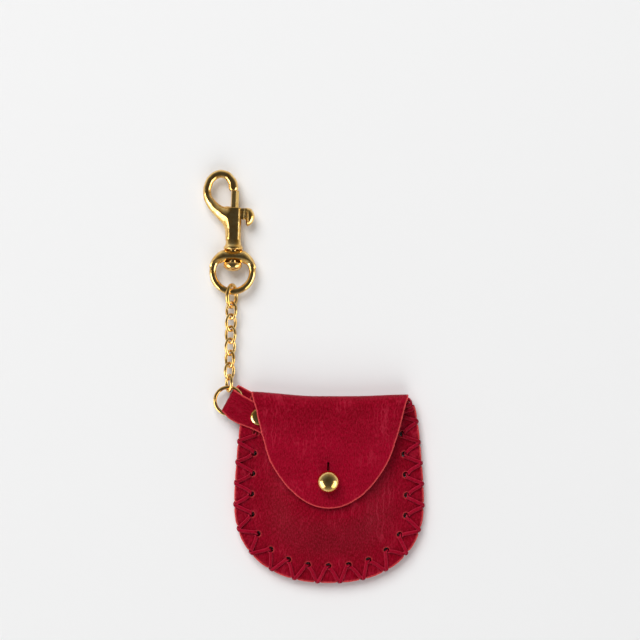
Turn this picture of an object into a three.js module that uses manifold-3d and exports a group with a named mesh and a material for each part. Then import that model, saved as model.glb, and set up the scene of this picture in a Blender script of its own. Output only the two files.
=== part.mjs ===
// A laced leather pouch that hangs from a swivel trigger snap on a short cable chain.
// Millimetres, +Z up. The pouch lies on its back, mouth towards +Y, and the origin is
// the middle of the flat of its back panel. The chain runs from the strap at the upper
// left corner towards +Y.
import * as THREE from "three";
import { mergeVertices } from "three/addons/utils/BufferGeometryUtils.js";
import Module from "manifold-3d";

// Gaps and overruns shared by the whole part
const seatGap = 0.2;
const looseGap = 0.3;
const cutOverrun = 2;
const weldDistance = 1e-4;

// Leather panels
const leather = 1.2;
const rimLift = 1.1;
const bodyHalfWidth = 33.5;
const bodyWidestY = -5;
const bodyBottomDepth = 28.4;
const bodyCornerPowerShare = 2.3;
const bodyTaper = 3.4;
const bodyTaperPowerShare = 1.5;
const bodyTuck = 1.6;
const bodyTuckPowerShare = 10;
const foldTopY = 34.4;
const foldHalfWidth = 28.8;
const foldSteps = 4;
const cornerLift = 0.9;
const cornerLiftStartY = 7;
const cornerLiftEndY = 19;
const cornerLiftInnerX = 11;
const cornerLiftOuterX = 18;
const crownHeight = 4.2;
const crownStart = 10.5;
const crownEnd = 19;
const bellyStart = 10.5;
const bellyEnd = 17;
const bellyFoldStart = 1;
const bellyFoldEnd = 8;
const frontPanelTopY = 30.4;

// Flap, the same piece of leather as the back panel, folded over the mouth
const flapUnderside = 8.9;
const flapTipY = -6.8;
const flapCurvePowerShare = 1.55;
const flapLeftTuck = 2.1;
const flapTuckPowerShare = 0.6;
const flapSideDroop = 0.8;
const flapDroopInner = 9;
const flapDroopOuter = 24;
const flapDroopFoldStart = 4;
const flapDroopFoldEnd = 15;

// Lace and its holes
const laceDiameter = 0.8;
const laceSides = 6;
const holeCount = 20;
const holeInset = 4.8;
const firstHoleY = 20.5;
const lastHoleY = 27.45;
const holeRadius = 1.3;
const holeSides = 8;
const laceLean = 0.35;
const laceSpread = 1.05;
const laceTail = 2;
const cornerWraps = 2;
const cornerWrapPitch = 1.6;
const laceRoundingShare = 0.25;
const laceLayerShare = 0.25;
const laceShoulderShare = 0.75;
const laceCrossingShare = 0.2;
const laceFaceShare = 0.5;
const laceEndShare = 0.4;

// Ball stud and its screw
const studX = -0.3;
const studY = 3.3;
const studHeadRadius = 3.85;
const studHeadHeight = 5.4;
const studHeadBase = 2.7;
const studNeckRadius = 1.7;
const studEquatorShare = 0.42;
const studLowTurnShare = -0.57;
const studFlangeRadius = 4.2;
const studFlangeThickness = 0.5;
const studBoreDepth = 2.6;
const screwHeadRadius = 3.6;
const screwHeadThickness = 0.9;
const screwShankRadius = 0.95;
const screwSlotWidth = 0.8;
const screwSlotDepth = 0.45;
const slitWidth = 0.6;
const slitTopY = 10.2;

// Strap that carries the ring, and its rivet
const strapThickness = 1;
const strapUpperSide = 4.2;
const strapLowerSide = 5;
const strapLowerFlare = 0.9;
const strapFoldHalfWidth = 3.8;
const strapRearLowerSide = 2.6;
const strapRearUpperSide = 6.6;
const strapAngle = THREE.MathUtils.degToRad(151.5);
const strapTip = 3.6;
const strapRearTip = 3.6;
const strapFoldReach = 13.2;
const strapTaperStart = 8.5;
const strapFlareStart = -2;
const strapFlareEnd = 7;
const rivetInset = 3;
const rivetDrop = 8;
const rivetCapRadius = 3;
const rivetCapHeight = 0.8;
const rivetRimShare = 0.3;
const rivetRearThickness = 0.6;
const rivetShankRadius = 0.9;
const cornerReach = Math.max(bodyHalfWidth - bodyTaper - bodyTuck, foldHalfWidth);
const rivetX = rivetInset - cornerReach;
const rivetY = foldTopY - rivetDrop;

// Ring and chain, on one straight line that leans a little to the right
const ringAside = 11.2;
const ringAbove = 5.9;
const ringX = rivetX - ringAside;
const ringY = rivetY + ringAbove;
const lineZ = 3.8;
const lineLean = THREE.MathUtils.degToRad(-1.8);
const ringRadius = 5;
const ringWire = 1.2;
const linkLength = 7.05;
const linkWidth = 5.1;
const linkWire = 1.15;
const linkTiltDegrees = [-30, 38, -32, 40, -42, 43, -60];
const connectorLength = 9.5;
const connectorWidth = 7.2;
const connectorWire = 1.5;
const connectorTiltDegrees = 60;

// Swivel eye
const eyeRadius = 7.3;
const eyeWire = 2.5;
const eyeBridgeOuter = 8.7;
const eyeBridgeThickness = 4.2;
const eyeBridgeTop = 7.7;
const eyeBridgeArch = 4.4;
const eyeBridgeArchEnd = 2.6;
const eyeBridgeBevel = 0.7;

// Stem that holds the eye on the snap
const stemRadius = 1.45;
const stemSeat = 2.6;
const stemHeadRadius = 3.3;
const stemHeadHeight = 4.3;
const stemShoulderShare = 0.3;
const stemCrownShare = 0.9;

// Snap hook body
const flangeRadius = 3.7;
const flangeHeight = 2.3;
const flangeProfileShares = [[0.86, 0], [1, 0.22], [0.94, 0.48], [0.776, 0.74]];
const barrelFootShare = 0.3;
const barrelRadius = 2.65;
const barrelLength = 13.35;
const boreRadius = 1.8;
const boreFloor = 1.4;
const hookReach = 10.3;
const hookRise = 12.2;
const hookRouteShares = [
  [-0.024, -0.451],
  [-0.4, -0.225],
  [-0.752, 0.004],
  [-0.959, 0.256],
  [-1, 0.512],
  [-0.903, 0.789],
  [-0.716, 0.947],
  [-0.51, 1],
  [-0.279, 0.943],
  [-0.109, 0.768],
];
const hookNoseShare = -0.049;
const hookThinningShare = 0.36;
const hookThickeningShare = 0.78;
const hookWireRadius = 1.5;
const hookRootRadius = 2.3;
const hookNoseRadius = 1.65;
const triggerTravel = 4.6;

// Bolt, its thumb lever and its spring
const boltRadius = 1.5;
const boltReach = 5.85;
const boltTail = 4.6;
const leverWidth = 1.6;
const leverHeight = 4.4;
const leverNeckReach = 4.6;
const clawReach = 7.6;
const clawDrop = 2.5;
const clawThickness = 3.6;
const clawBevel = 0.5;
const springRadius = 1.1;
const springWire = 0.4;
const springTurns = 4;
const springSteps = 8;

// Colours, roughness and metalness
const hide = { color: 0x85061d, roughness: 0.55, metalness: 0 };
const thong = { color: 0x6b0317, roughness: 0.6, metalness: 0 };
const gilt = { color: 0xc79a45, roughness: 0.18, metalness: 1 };
const steel = { color: 0xb9b9b4, roughness: 0.35, metalness: 1 };

const wasm = await Module();
wasm.setup();

// Booleans
function closed(geometry) {
  const bare = geometry.index ? geometry : geometry.clone();
  for (const extra of ["normal", "uv", "uv1"]) bare.deleteAttribute(extra);
  const merged = mergeVertices(bare, weldDistance);
  const kept = [];
  const order = merged.index.array;
  for (let i = 0; i < order.length; i += 3) {
    const [a, b, c] = [order[i], order[i + 1], order[i + 2]];
    if (a !== b && b !== c && c !== a) kept.push(a, b, c);
  }
  merged.setIndex(kept);
  return merged;
}

function solid(geometry) {
  const clean = closed(geometry);
  return new wasm.Manifold(
    new wasm.Mesh({
      numProp: 3,
      vertProperties: new Float32Array(clean.attributes.position.array),
      triVerts: new Uint32Array(clean.index.array),
    }),
  );
}

function geometryOf(body) {
  const made = body.getMesh();
  const geometry = new THREE.BufferGeometry();
  geometry.setAttribute("position", new THREE.BufferAttribute(made.vertProperties, 3));
  geometry.setIndex(new THREE.BufferAttribute(made.triVerts, 1));
  return geometry;
}

function joined(...geometries) {
  return geometryOf(geometries.map(solid).reduce((all, one) => all.add(one)));
}

function cut(geometry, ...tools) {
  return geometryOf(tools.map(solid).reduce((left, tool) => left.subtract(tool), solid(geometry)));
}

function meshOf(points, faces) {
  const geometry = new THREE.BufferGeometry();
  geometry.setAttribute("position", new THREE.Float32BufferAttribute(points, 3));
  geometry.setIndex(faces);
  return geometry;
}

// Small shape helpers
const smooth = (x, from, to) => THREE.MathUtils.smoothstep(x, from, to);

function post(radius, low, high, x, y, sides = 16) {
  const geometry = new THREE.CylinderGeometry(radius, radius, high - low, sides);
  geometry.rotateX(Math.PI / 2);
  return geometry.translate(x, y, (low + high) / 2);
}

function rod(radius, low, high, sides = 20) {
  return new THREE.CylinderGeometry(radius, radius, high - low, sides).translate(0, (low + high) / 2, 0);
}

function block(x0, x1, y0, y1, z0, z1) {
  const geometry = new THREE.BoxGeometry(x1 - x0, y1 - y0, z1 - z0);
  return geometry.translate((x0 + x1) / 2, (y0 + y1) / 2, (z0 + z1) / 2);
}

function lathe(profile, segments = 24) {
  return new THREE.LatheGeometry(profile.map(([r, h]) => new THREE.Vector2(r, h)), segments);
}

// A route through chosen points, followed straight from each to the next.
class Route extends THREE.Curve {
  constructor(points) {
    super();
    this.points = points;
  }
  getPoint(t, target = new THREE.Vector3()) {
    const place = THREE.MathUtils.clamp(t, 0, 1) * (this.points.length - 1);
    const from = Math.min(Math.floor(place), this.points.length - 2);
    return target.lerpVectors(this.points[from], this.points[from + 1], place - from);
  }
  getUtoTmapping(t) {
    return t;
  }
}

function circleShape(radius, sides) {
  const corners = [];
  for (let i = 0; i < sides; i++) {
    const turn = (2 * Math.PI * i) / sides;
    corners.push(new THREE.Vector2(radius * Math.cos(turn), radius * Math.sin(turn)));
  }
  return new THREE.Shape(corners);
}

function tubeAlong(points, radius, sides) {
  return new THREE.ExtrudeGeometry(circleShape(radius, sides), {
    steps: points.length - 1,
    bevelEnabled: false,
    extrudePath: new Route(points),
  });
}

// A tube whose radius follows a function of its station's share of the way.
function taperedTube(curve, radiusAt, steps, sides) {
  const frames = curve.computeFrenetFrames(steps);
  const points = [];
  const faces = [];
  for (let i = 0; i <= steps; i++) {
    const centre = curve.getPointAt(i / steps);
    for (let j = 0; j < sides; j++) {
      const turn = (2 * Math.PI * j) / sides;
      const point = centre.clone();
      point.addScaledVector(frames.normals[i], radiusAt(i / steps) * Math.cos(turn));
      point.addScaledVector(frames.binormals[i], radiusAt(i / steps) * Math.sin(turn));
      points.push(...point);
    }
  }
  const at = (i, j) => i * sides + (j % sides);
  for (let i = 0; i < steps; i++) {
    for (let j = 0; j < sides; j++) {
      faces.push(at(i, j), at(i, j + 1), at(i + 1, j + 1));
      faces.push(at(i, j), at(i + 1, j + 1), at(i + 1, j));
    }
  }
  for (let j = 2; j < sides; j++) {
    faces.push(at(0, 0), at(0, j), at(0, j - 1));
    faces.push(at(steps, 0), at(steps, j - 1), at(steps, j));
  }
  return meshOf(points, faces);
}

// An oval wire loop in the XY plane, its length along Y.
class Oval extends THREE.Curve {
  constructor(length, width, wire) {
    super();
    this.bend = (width - wire) / 2;
    this.straight = (length - wire) / 2 - this.bend;
  }
  getPoint(t, target = new THREE.Vector3()) {
    const arc = Math.PI * this.bend;
    const side = 2 * this.straight;
    let way = (t % 1) * 2 * (arc + side);
    const lower = way > arc + side;
    if (lower) way -= arc + side;
    const turn = Math.min(way / this.bend, Math.PI);
    const x = this.bend * Math.cos(turn);
    const y = this.straight + this.bend * Math.sin(turn) - Math.max(way - arc, 0);
    return lower ? target.set(-x, -y, 0) : target.set(x, y, 0);
  }
}

function loop(curve, wire, steps, sides) {
  return closed(new THREE.TubeGeometry(curve, steps, wire / 2, sides, true));
}

// Outline of the pouch body and the surfaces of its panels
function bodyHalfWidthAt(y) {
  if (y < bodyWidestY) {
    const share = Math.min((bodyWidestY - y) / bodyBottomDepth, 1);
    return bodyHalfWidth * (1 - share ** bodyCornerPowerShare) ** (1 / bodyCornerPowerShare);
  }
  const share = (y - bodyWidestY) / (foldTopY - bodyWidestY);
  return bodyHalfWidth - bodyTaper * share ** bodyTaperPowerShare - bodyTuck * share ** bodyTuckPowerShare;
}

// Levels from the bottom pole up: even in angle round the bottom, then even in height.
function bodyLevels(topY, roundSteps, sideSteps) {
  const levels = [];
  for (let i = roundSteps; i > 0; i--) {
    const turn = (Math.PI / 2) * (i / roundSteps);
    levels.push(bodyWidestY - bodyBottomDepth * Math.sin(turn) ** (2 / bodyCornerPowerShare));
  }
  for (let i = 0; i <= sideSteps; i++) levels.push(bodyWidestY + ((topY - bodyWidestY) * i) / sideSteps);
  return levels;
}

const edgePoints = (() => {
  const right = bodyLevels(foldTopY, 40, 40).map((y) => new THREE.Vector2(bodyHalfWidthAt(y), y));
  const left = right.slice(1).map((p) => new THREE.Vector2(-p.x, p.y));
  return [...left.reverse(), ...right];
})();

function edgeDistance(x, y) {
  let least = Infinity;
  for (const p of edgePoints) least = Math.min(least, Math.hypot(p.x - x, p.y - y));
  return least;
}

const foldRadius = (flapUnderside + leather / 2 - (rimLift + leather / 2)) / 2;
const foldStartY = foldTopY - foldRadius - leather / 2;
const foldCentreZ = rimLift + leather / 2 + foldRadius;

// How far the rim is lifted: more at the upper left corner, over the strap's rear leg.
function liftAt(x, y) {
  const up = smooth(y, cornerLiftStartY, cornerLiftEndY);
  return rimLift + cornerLift * up * smooth(-x, cornerLiftInnerX, cornerLiftOuterX);
}

function backUnderside(x, y) {
  const inside = smooth(edgeDistance(x, y), bellyStart, bellyEnd);
  const below = smooth(foldStartY - y, bellyFoldStart, bellyFoldEnd);
  return liftAt(x, y) * (1 - inside * below);
}

function frontUnderside(x, y) {
  const crown = smooth(edgeDistance(x, y), crownStart, crownEnd);
  return liftAt(x, y) + leather + seatGap + crownHeight * crown;
}

const frontTop = (x, y) => frontUnderside(x, y) + leather;

function flapHalfWidthAt(y) {
  const share = THREE.MathUtils.clamp((foldTopY - y) / (foldTopY - flapTipY), 0, 1);
  return foldHalfWidth * Math.sqrt(1 - share ** flapCurvePowerShare);
}

// The flap's left edge is cut a little further in than its right one.
function flapLeftWidthAt(y) {
  const share = THREE.MathUtils.clamp((foldStartY - y) / (foldStartY - flapTipY), 0, 1);
  return flapHalfWidthAt(y) - flapLeftTuck * Math.sin(Math.PI * share ** flapTuckPowerShare);
}

function flapUndersideAt(x, y) {
  const side = smooth(Math.abs(x), flapDroopInner, flapDroopOuter);
  const below = smooth(foldStartY - y, flapDroopFoldStart, flapDroopFoldEnd);
  return flapUnderside - flapSideDroop * side * below;
}

// A sheet of leather from rows. Each row has a half width, which its left side may set
// apart, and two functions of x that give [y, z] on its lower and its upper face.
function sheet(rows, columns) {
  const points = [];
  const faces = [];
  const width = columns + 1;
  for (const face of ["lower", "upper"]) {
    for (const row of rows) {
      for (let j = 0; j <= columns; j++) {
        const x = THREE.MathUtils.lerp(-(row.left ?? row.half), row.half, j / columns);
        const [y, z] = row[face](x);
        points.push(x, y, z);
      }
    }
  }
  const lower = (i, j) => i * width + j;
  const upper = (i, j) => (rows.length + i) * width + j;
  const quad = (a, b, c, d) => faces.push(a, b, c, a, c, d);
  const last = rows.length - 1;
  for (let i = 0; i < last; i++) {
    for (let j = 0; j < columns; j++) {
      quad(upper(i, j), upper(i, j + 1), upper(i + 1, j + 1), upper(i + 1, j));
      quad(lower(i, j), lower(i + 1, j), lower(i + 1, j + 1), lower(i, j + 1));
    }
    quad(lower(i, 0), upper(i, 0), upper(i + 1, 0), lower(i + 1, 0));
    quad(lower(i, columns), lower(i + 1, columns), upper(i + 1, columns), upper(i, columns));
  }
  for (let j = 0; j < columns; j++) {
    quad(lower(0, j), lower(0, j + 1), upper(0, j + 1), upper(0, j));
    quad(lower(last, j), upper(last, j), upper(last, j + 1), lower(last, j + 1));
  }
  return meshOf(points, faces);
}

function flatRow(y, half, underside) {
  return {
    half,
    lower: (x) => [y, underside(x, y)],
    upper: (x) => [y, underside(x, y) + leather],
  };
}

// A row of the fold: angle 0 is the back panel's end of it, half a turn is the flap's.
function foldRow(angle, half) {
  const upperHalf = angle > Math.PI / 2;
  const at = (offset) => (x) => {
    const drop = upperHalf ? foldRadius : foldCentreZ - liftAt(x, foldStartY) - leather / 2;
    const y = foldStartY + (foldRadius + offset) * Math.sin(angle);
    return [y, foldCentreZ - (drop + offset) * Math.cos(angle)];
  };
  const outer = at(leather / 2);
  const inner = at(-leather / 2);
  return { half, lower: upperHalf ? inner : outer, upper: upperHalf ? outer : inner };
}

// The line of holes: points at even steps of length, each with its outward direction
const holeLine = (() => {
  const points = edgePoints.map((p, i) => {
    const before = edgePoints[Math.max(i - 1, 0)];
    const after = edgePoints[Math.min(i + 1, edgePoints.length - 1)];
    const along = after.clone().sub(before).normalize();
    const outward = new THREE.Vector2(along.y, -along.x);
    return p.clone().addScaledVector(outward, -holeInset);
  });
  const lengths = [0];
  for (let i = 1; i < points.length; i++) lengths.push(lengths[i - 1] + points[i].distanceTo(points[i - 1]));
  return { points, lengths };
})();

function onHoleLine(length) {
  const { points, lengths } = holeLine;
  let i = 1;
  while (i < lengths.length - 1 && lengths[i] < length) i++;
  const share = (length - lengths[i - 1]) / (lengths[i] - lengths[i - 1]);
  const place = points[i - 1].clone().lerp(points[i], share);
  const along = points[i].clone().sub(points[i - 1]).normalize();
  return { place, outward: new THREE.Vector2(along.y, -along.x) };
}

// The length along the line of holes at a height, on its way down the left side or up the right
function lengthAtHeight(y, onRight) {
  const { points, lengths } = holeLine;
  const i = points.findIndex((p) => (onRight ? p.x > 0 && p.y > y : p.y < y));
  return THREE.MathUtils.mapLinear(y, points[i - 1].y, points[i].y, lengths[i - 1], lengths[i]);
}

const firstHoleLength = lengthAtHeight(firstHoleY, false);
const lastHoleLength = lengthAtHeight(lastHoleY, true);
const holePitch = (lastHoleLength - firstHoleLength) / (holeCount - 1);
const holeLength = (index) => firstHoleLength + index * holePitch;
const holePlace = (index) => onHoleLine(holeLength(index)).place;
const cornerSlotLength = (cornerWraps - 1) * cornerWrapPitch;

function laceHoleTools() {
  const tools = [];
  for (let i = 0; i < holeCount; i++) {
    const { x, y } = holePlace(i);
    tools.push(post(holeRadius, -cutOverrun, flapUnderside + cutOverrun, x, y, holeSides));
  }
  const end = onHoleLine(holeLength(holeCount - 1) + cornerSlotLength).place;
  tools.push(post(holeRadius, -cutOverrun, flapUnderside + cutOverrun, end.x, end.y, holeSides));
  return tools;
}

function backPanel() {
  const rows = bodyLevels(foldStartY, 8, 6).map((y) => {
    const half = y === foldStartY ? foldHalfWidth : bodyHalfWidthAt(y);
    return flatRow(y, half, backUnderside);
  });
  const apex = Math.PI / 2 - looseGap / 2 / foldRadius;
  for (let i = 1; i <= foldSteps; i++) rows.push(foldRow((apex * i) / foldSteps, foldHalfWidth));
  const rivetHole = post(rivetShankRadius + looseGap, 0, flapUnderside, rivetX, rivetY, 12);
  return cut(sheet(rows, 16), ...laceHoleTools(), rivetHole);
}

function frontPanel() {
  const rows = bodyLevels(frontPanelTopY, 8, 8).map((y) => flatRow(y, bodyHalfWidthAt(y), frontUnderside));
  const screwHole = post(screwShankRadius + looseGap, 0, flapUnderside, studX, studY, 12);
  const rivetHole = post(rivetShankRadius + looseGap, 0, flapUnderside, rivetX, rivetY, 12);
  return cut(sheet(rows, 16), ...laceHoleTools(), screwHole, rivetHole);
}

function flap() {
  const steps = 9;
  const rows = [];
  for (let i = 0; i <= steps; i++) {
    const share = 1 - Math.cos((Math.PI / 2) * (i / steps));
    const y = flapTipY + (foldStartY - flapTipY) * share;
    rows.push({ ...flatRow(y, flapHalfWidthAt(y), flapUndersideAt), left: flapLeftWidthAt(y) });
  }
  const apex = Math.PI / 2 + looseGap / 2 / foldRadius;
  for (let i = 1; i <= foldSteps; i++) {
    rows.push(foldRow(THREE.MathUtils.lerp(Math.PI, apex, i / foldSteps), flapHalfWidthAt(foldStartY)));
  }
  const neckHole = post(studNeckRadius + looseGap, 0, foldTopY, studX, studY, 16);
  const halfSlit = slitWidth / 2;
  const slit = block(studX - halfSlit, studX + halfSlit, studY, slitTopY, 0, foldTopY);
  return cut(sheet(rows, 14), neckHole, slit);
}

// Lace. A place on the pouch edge is a length along the line of holes and a reach
// outwards from it.
const laceRadius = laceDiameter / 2;
const edgeReach = holeInset + seatGap + laceRadius;

function laceLevel(length, reach, over) {
  const { place, outward } = onHoleLine(length);
  const inner = Math.min(reach, holeInset - laceRadius);
  const x = place.x + outward.x * inner;
  const y = place.y + outward.y * inner;
  const under = backUnderside(x, y) - seatGap - laceRadius;
  return over ? frontTop(x, y) + seatGap + laceRadius : under;
}

function lacePoint(length, reach, z) {
  const { place, outward } = onHoleLine(length);
  return new THREE.Vector3(place.x + outward.x * reach, place.y + outward.y * reach, z);
}

function onFace(length, reach, over, inset = 0) {
  return lacePoint(length, reach, laceLevel(length, reach, over) + (over ? -inset : inset));
}

// Up through a hole, from under the back panel to above the front one.
function throughHole(length, reach, lean) {
  return [
    onFace(length - lean - Math.sign(lean) * laceRadius, reach, false),
    onFace(length - lean, reach, false, laceRadius),
    onFace(length + lean, reach, true, laceRadius),
    onFace(length + lean + Math.sign(lean) * laceRadius, reach, true),
  ];
}

// Over the edge, from the front face at one length to the back face at another.
function overEdge(from, to, layer) {
  const middle = (from + to) / 2;
  const quarter = (to - from) / 4;
  const rounding = (seatGap + laceRadius) * laceRoundingShare;
  const top = laceLevel(middle, holeInset, true);
  const bottom = laceLevel(middle, holeInset, false);
  const brink = holeInset - rounding + layer * laceLayerShare;
  const shoulder = edgeReach - rounding + layer * laceShoulderShare;
  return [
    onFace(from, brink, true),
    lacePoint(middle - quarter, shoulder, top - rounding),
    lacePoint(middle, edgeReach + layer, (top + bottom) / 2),
    lacePoint(middle + quarter, shoulder, bottom + rounding),
    onFace(to, brink, false),
  ];
}

// One way round the pouch: +1 from the first hole to the last, -1 back again.
function laceRoute(way) {
  const lean = way * laceLean;
  const reach = (way * laceSpread) / 2;
  const layer = way > 0 ? 0 : laceSpread;
  const half = (way * holePitch) / 2;
  const aside = half * laceFaceShare;
  const halfCrossing = half * laceCrossingShare;
  const order = [...Array(holeCount).keys()];
  if (way < 0) order.reverse();
  const points = [];
  order.forEach((index, i) => {
    const length = holeLength(index);
    const lastHole = i === holeCount - 1;
    if (lastHole && way < 0) points.push(onFace(length + holeRadius, holeInset * laceEndShare, false));
    if (i === 0) points.push(onFace(length - lean, reach - laceTail, false));
    if (lastHole && way < 0) return;
    points.push(...throughHole(length, reach, lean));
    if (lastHole) return;
    points.push(onFace(length + aside, holeInset * laceFaceShare, true));
    points.push(...overEdge(length + half - halfCrossing, length + half + halfCrossing, layer));
    points.push(onFace(length + half + aside, holeInset * laceFaceShare, false));
  });
  return points;
}

// The two wraps that finish the forward lace at the mouth corner.
function cornerFinish() {
  const points = [];
  for (let i = 0; i < cornerWraps; i++) {
    const length = holeLength(holeCount - 1) + laceLean + i * cornerWrapPitch;
    const next = length + cornerWrapPitch;
    if (i > 0) {
      points.push(onFace(length, laceSpread / 2 + laceRadius, false));
      points.push(onFace(length, laceSpread / 2, false, laceRadius));
      points.push(onFace(length, laceSpread / 2, true, laceRadius));
    }
    points.push(onFace(length, laceSpread / 2 + laceDiameter, true));
    points.push(...overEdge(length, next, 0));
  }
  const end = holeLength(holeCount - 1) + laceLean + cornerWraps * cornerWrapPitch;
  points.push(onFace(end, laceSpread / 2 + laceDiameter, false));
  points.push(onFace(end, laceSpread / 2, false));
  return points;
}

// Least distance between runs of one lace that are a loop or more apart, less its diameter.
function leastSelfGap(points, apart) {
  let least = Infinity;
  for (let i = 0; i < points.length; i++) {
    for (let j = i + apart; j < points.length; j++) {
      least = Math.min(least, points[i].distanceTo(points[j]));
    }
  }
  return least - laceDiameter;
}

const forwardRoute = [...laceRoute(1), ...cornerFinish()];
const returnRoute = laceRoute(-1);
for (const [name, route] of Object.entries({ forwardRoute, returnRoute })) {
  console.log(name, route.length, "points, least gap to itself", leastSelfGap(route, 6).toFixed(2), "mm");
}

// Stud: a ball head on a neck and flange, screwed from inside the pocket
const studSeat = frontTop(studX, studY) + seatGap;
const studHeadBottom = flapUnderside + leather + looseGap;

function studHead() {
  const top = studHeadBottom + studHeadHeight;
  const flangeTop = studSeat + studFlangeThickness;
  const bore = screwShankRadius + looseGap;
  const middle = studHeadBottom + studHeadHeight * studEquatorShare;
  const profile = [
    [0, studSeat + studBoreDepth],
    [bore, studSeat + studBoreDepth],
    [bore, studSeat],
    [studFlangeRadius, studSeat],
    [studFlangeRadius, flangeTop],
    [studNeckRadius, flangeTop],
    [studNeckRadius, studHeadBottom],
    [studHeadBase, studHeadBottom],
  ];
  for (let i = 0; i <= 7; i++) {
    const turn = (Math.PI / 2) * THREE.MathUtils.lerp(studLowTurnShare, 1, i / 7);
    const height = turn < 0 ? middle - studHeadBottom : top - middle;
    profile.push([studHeadRadius * Math.cos(turn), middle + height * Math.sin(turn)]);
  }
  profile[profile.length - 1][0] = 0;
  const geometry = lathe(profile, 24);
  geometry.rotateX(Math.PI / 2);
  return geometry.translate(studX, studY, 0);
}

function studScrew() {
  const headTop = frontUnderside(studX, studY) - seatGap;
  const headBottom = headTop - screwHeadThickness;
  const head = post(screwHeadRadius, headBottom, headTop, studX, studY, 20);
  const shankTop = studSeat + studBoreDepth - looseGap;
  const shank = post(screwShankRadius, headTop - screwHeadThickness / 2, shankTop, studX, studY, 10);
  const halfSlot = screwSlotWidth / 2;
  const reach = screwHeadRadius + cutOverrun;
  const slot = block(
    studX - halfSlot,
    studX + halfSlot,
    studY - reach,
    studY + reach,
    headBottom - cutOverrun,
    headBottom + screwSlotDepth,
  );
  return cut(joined(head, shank), slot);
}

// Strap: one tab folded round the ring, riveted on the front and on the back of the pouch
const strapRearZ = rimLift + cornerLift - seatGap - strapThickness / 2;
const strapFrontZ = rimLift + cornerLift + 2 * leather + 2 * seatGap + strapThickness / 2;
const strapFoldRadius = (strapFrontZ - strapRearZ) / 2;

function strapCentre() {
  const foldX = strapFoldReach - strapThickness / 2 - strapFoldRadius;
  const foldZ = (strapFrontZ + strapRearZ) / 2;
  const points = [new THREE.Vector2(-strapTip, strapFrontZ)];
  points.push(new THREE.Vector2(strapFlareStart, strapFrontZ), new THREE.Vector2(strapFlareEnd / 2, strapFrontZ));
  const turns = 12;
  for (let i = 0; i <= turns; i++) {
    const turn = Math.PI / 2 - (Math.PI * i) / turns;
    const x = foldX + strapFoldRadius * Math.cos(turn);
    points.push(new THREE.Vector2(x, foldZ + strapFoldRadius * Math.sin(turn)));
  }
  points.push(new THREE.Vector2(-strapRearTip, strapRearZ));
  return points;
}

// The strap's two edges, across from its middle line, at a reach from the rivet and a height
function strapSides(reach, z) {
  const rearTop = lineZ - ringWire / 2 - 2 * looseGap;
  const rear = smooth(rearTop - z, 0, rearTop - strapRearZ - strapThickness / 2);
  const flare = strapLowerFlare * smooth(reach, strapFlareStart, strapFlareEnd);
  const taper = smooth(reach, strapTaperStart, strapFoldReach);
  const front = (side) => THREE.MathUtils.lerp(side, strapFoldHalfWidth, taper);
  return {
    upper: THREE.MathUtils.lerp(front(strapUpperSide), strapRearUpperSide, rear),
    lower: THREE.MathUtils.lerp(front(strapLowerSide + flare), strapRearLowerSide, rear),
  };
}

function strap() {
  const centre = strapCentre();
  const side = (sign) =>
    centre.map((p, i) => {
      const before = centre[Math.max(i - 1, 0)];
      const after = centre[Math.min(i + 1, centre.length - 1)];
      const along = after.clone().sub(before).normalize();
      const half = (sign * strapThickness) / 2;
      return new THREE.Vector2(p.x - along.y * half, p.y + along.x * half);
    });
  const shape = new THREE.Shape([...side(1), ...side(-1).reverse()]);
  const depth = strapUpperSide + strapLowerSide;
  const geometry = new THREE.ExtrudeGeometry(shape, { depth, steps: 1, bevelEnabled: false });
  geometry.translate(0, 0, -depth / 2);
  geometry.rotateX(Math.PI / 2);
  const position = geometry.attributes.position;
  for (let i = 0; i < position.count; i++) {
    const sides = strapSides(position.getX(i), position.getZ(i));
    position.setY(i, position.getY(i) > 0 ? sides.lower : -sides.upper);
  }
  geometry.rotateZ(strapAngle).translate(rivetX, rivetY, 0);
  return cut(geometry, post(rivetShankRadius + looseGap, -cutOverrun, flapUnderside, rivetX, rivetY, 12));
}

const rivetRearTop = strapRearZ - strapThickness / 2 - seatGap;

function rivetCap() {
  const seat = strapFrontZ + strapThickness / 2 + seatGap;
  const profile = [
    [0, rivetRearTop + seatGap],
    [rivetShankRadius, rivetRearTop + seatGap],
    [rivetShankRadius, seat],
    [rivetCapRadius, seat],
  ];
  for (let i = 0; i <= 4; i++) {
    const turn = (Math.PI / 2) * (i / 4);
    const height = THREE.MathUtils.lerp(rivetRimShare, 1, Math.sin(turn));
    profile.push([rivetCapRadius * Math.cos(turn), seat + rivetCapHeight * height]);
  }
  profile[profile.length - 1][0] = 0;
  return lathe(profile, 20).rotateX(Math.PI / 2).translate(rivetX, rivetY, 0);
}

function rivetRear() {
  return post(rivetCapRadius, rivetRearTop - rivetRearThickness, rivetRearTop, rivetX, rivetY, 20);
}

// Places along the chain line, measured from the ring's centre
const linkEnd = (linkLength - linkWire) / 2;
const linkPitch = linkLength - 2 * linkWire - looseGap;
const lastLinkAt = ringRadius - (ringWire + linkWire) / 2 - looseGap + linkEnd;
const firstLinkAt = lastLinkAt + (linkTiltDegrees.length - 1) * linkPitch;
const connectorEnd = (connectorLength - connectorWire) / 2;
const connectorAt = firstLinkAt + linkEnd + connectorEnd - (linkWire + connectorWire) / 2 - looseGap;
const eyeBottomAt = connectorAt + connectorEnd - (connectorWire + eyeWire) / 2 - looseGap;
const eyeAt = eyeBottomAt + eyeRadius;
const flangeAt = eyeAt + eyeBridgeTop + looseGap;
const barrelAt = flangeAt + flangeHeight;
const barrelTop = barrelAt + barrelLength;

function link(at, tiltDegrees) {
  const geometry = loop(new Oval(linkLength, linkWidth, linkWire), linkWire, 18, 6);
  return geometry.rotateY(THREE.MathUtils.degToRad(tiltDegrees)).translate(0, at, 0);
}

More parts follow.
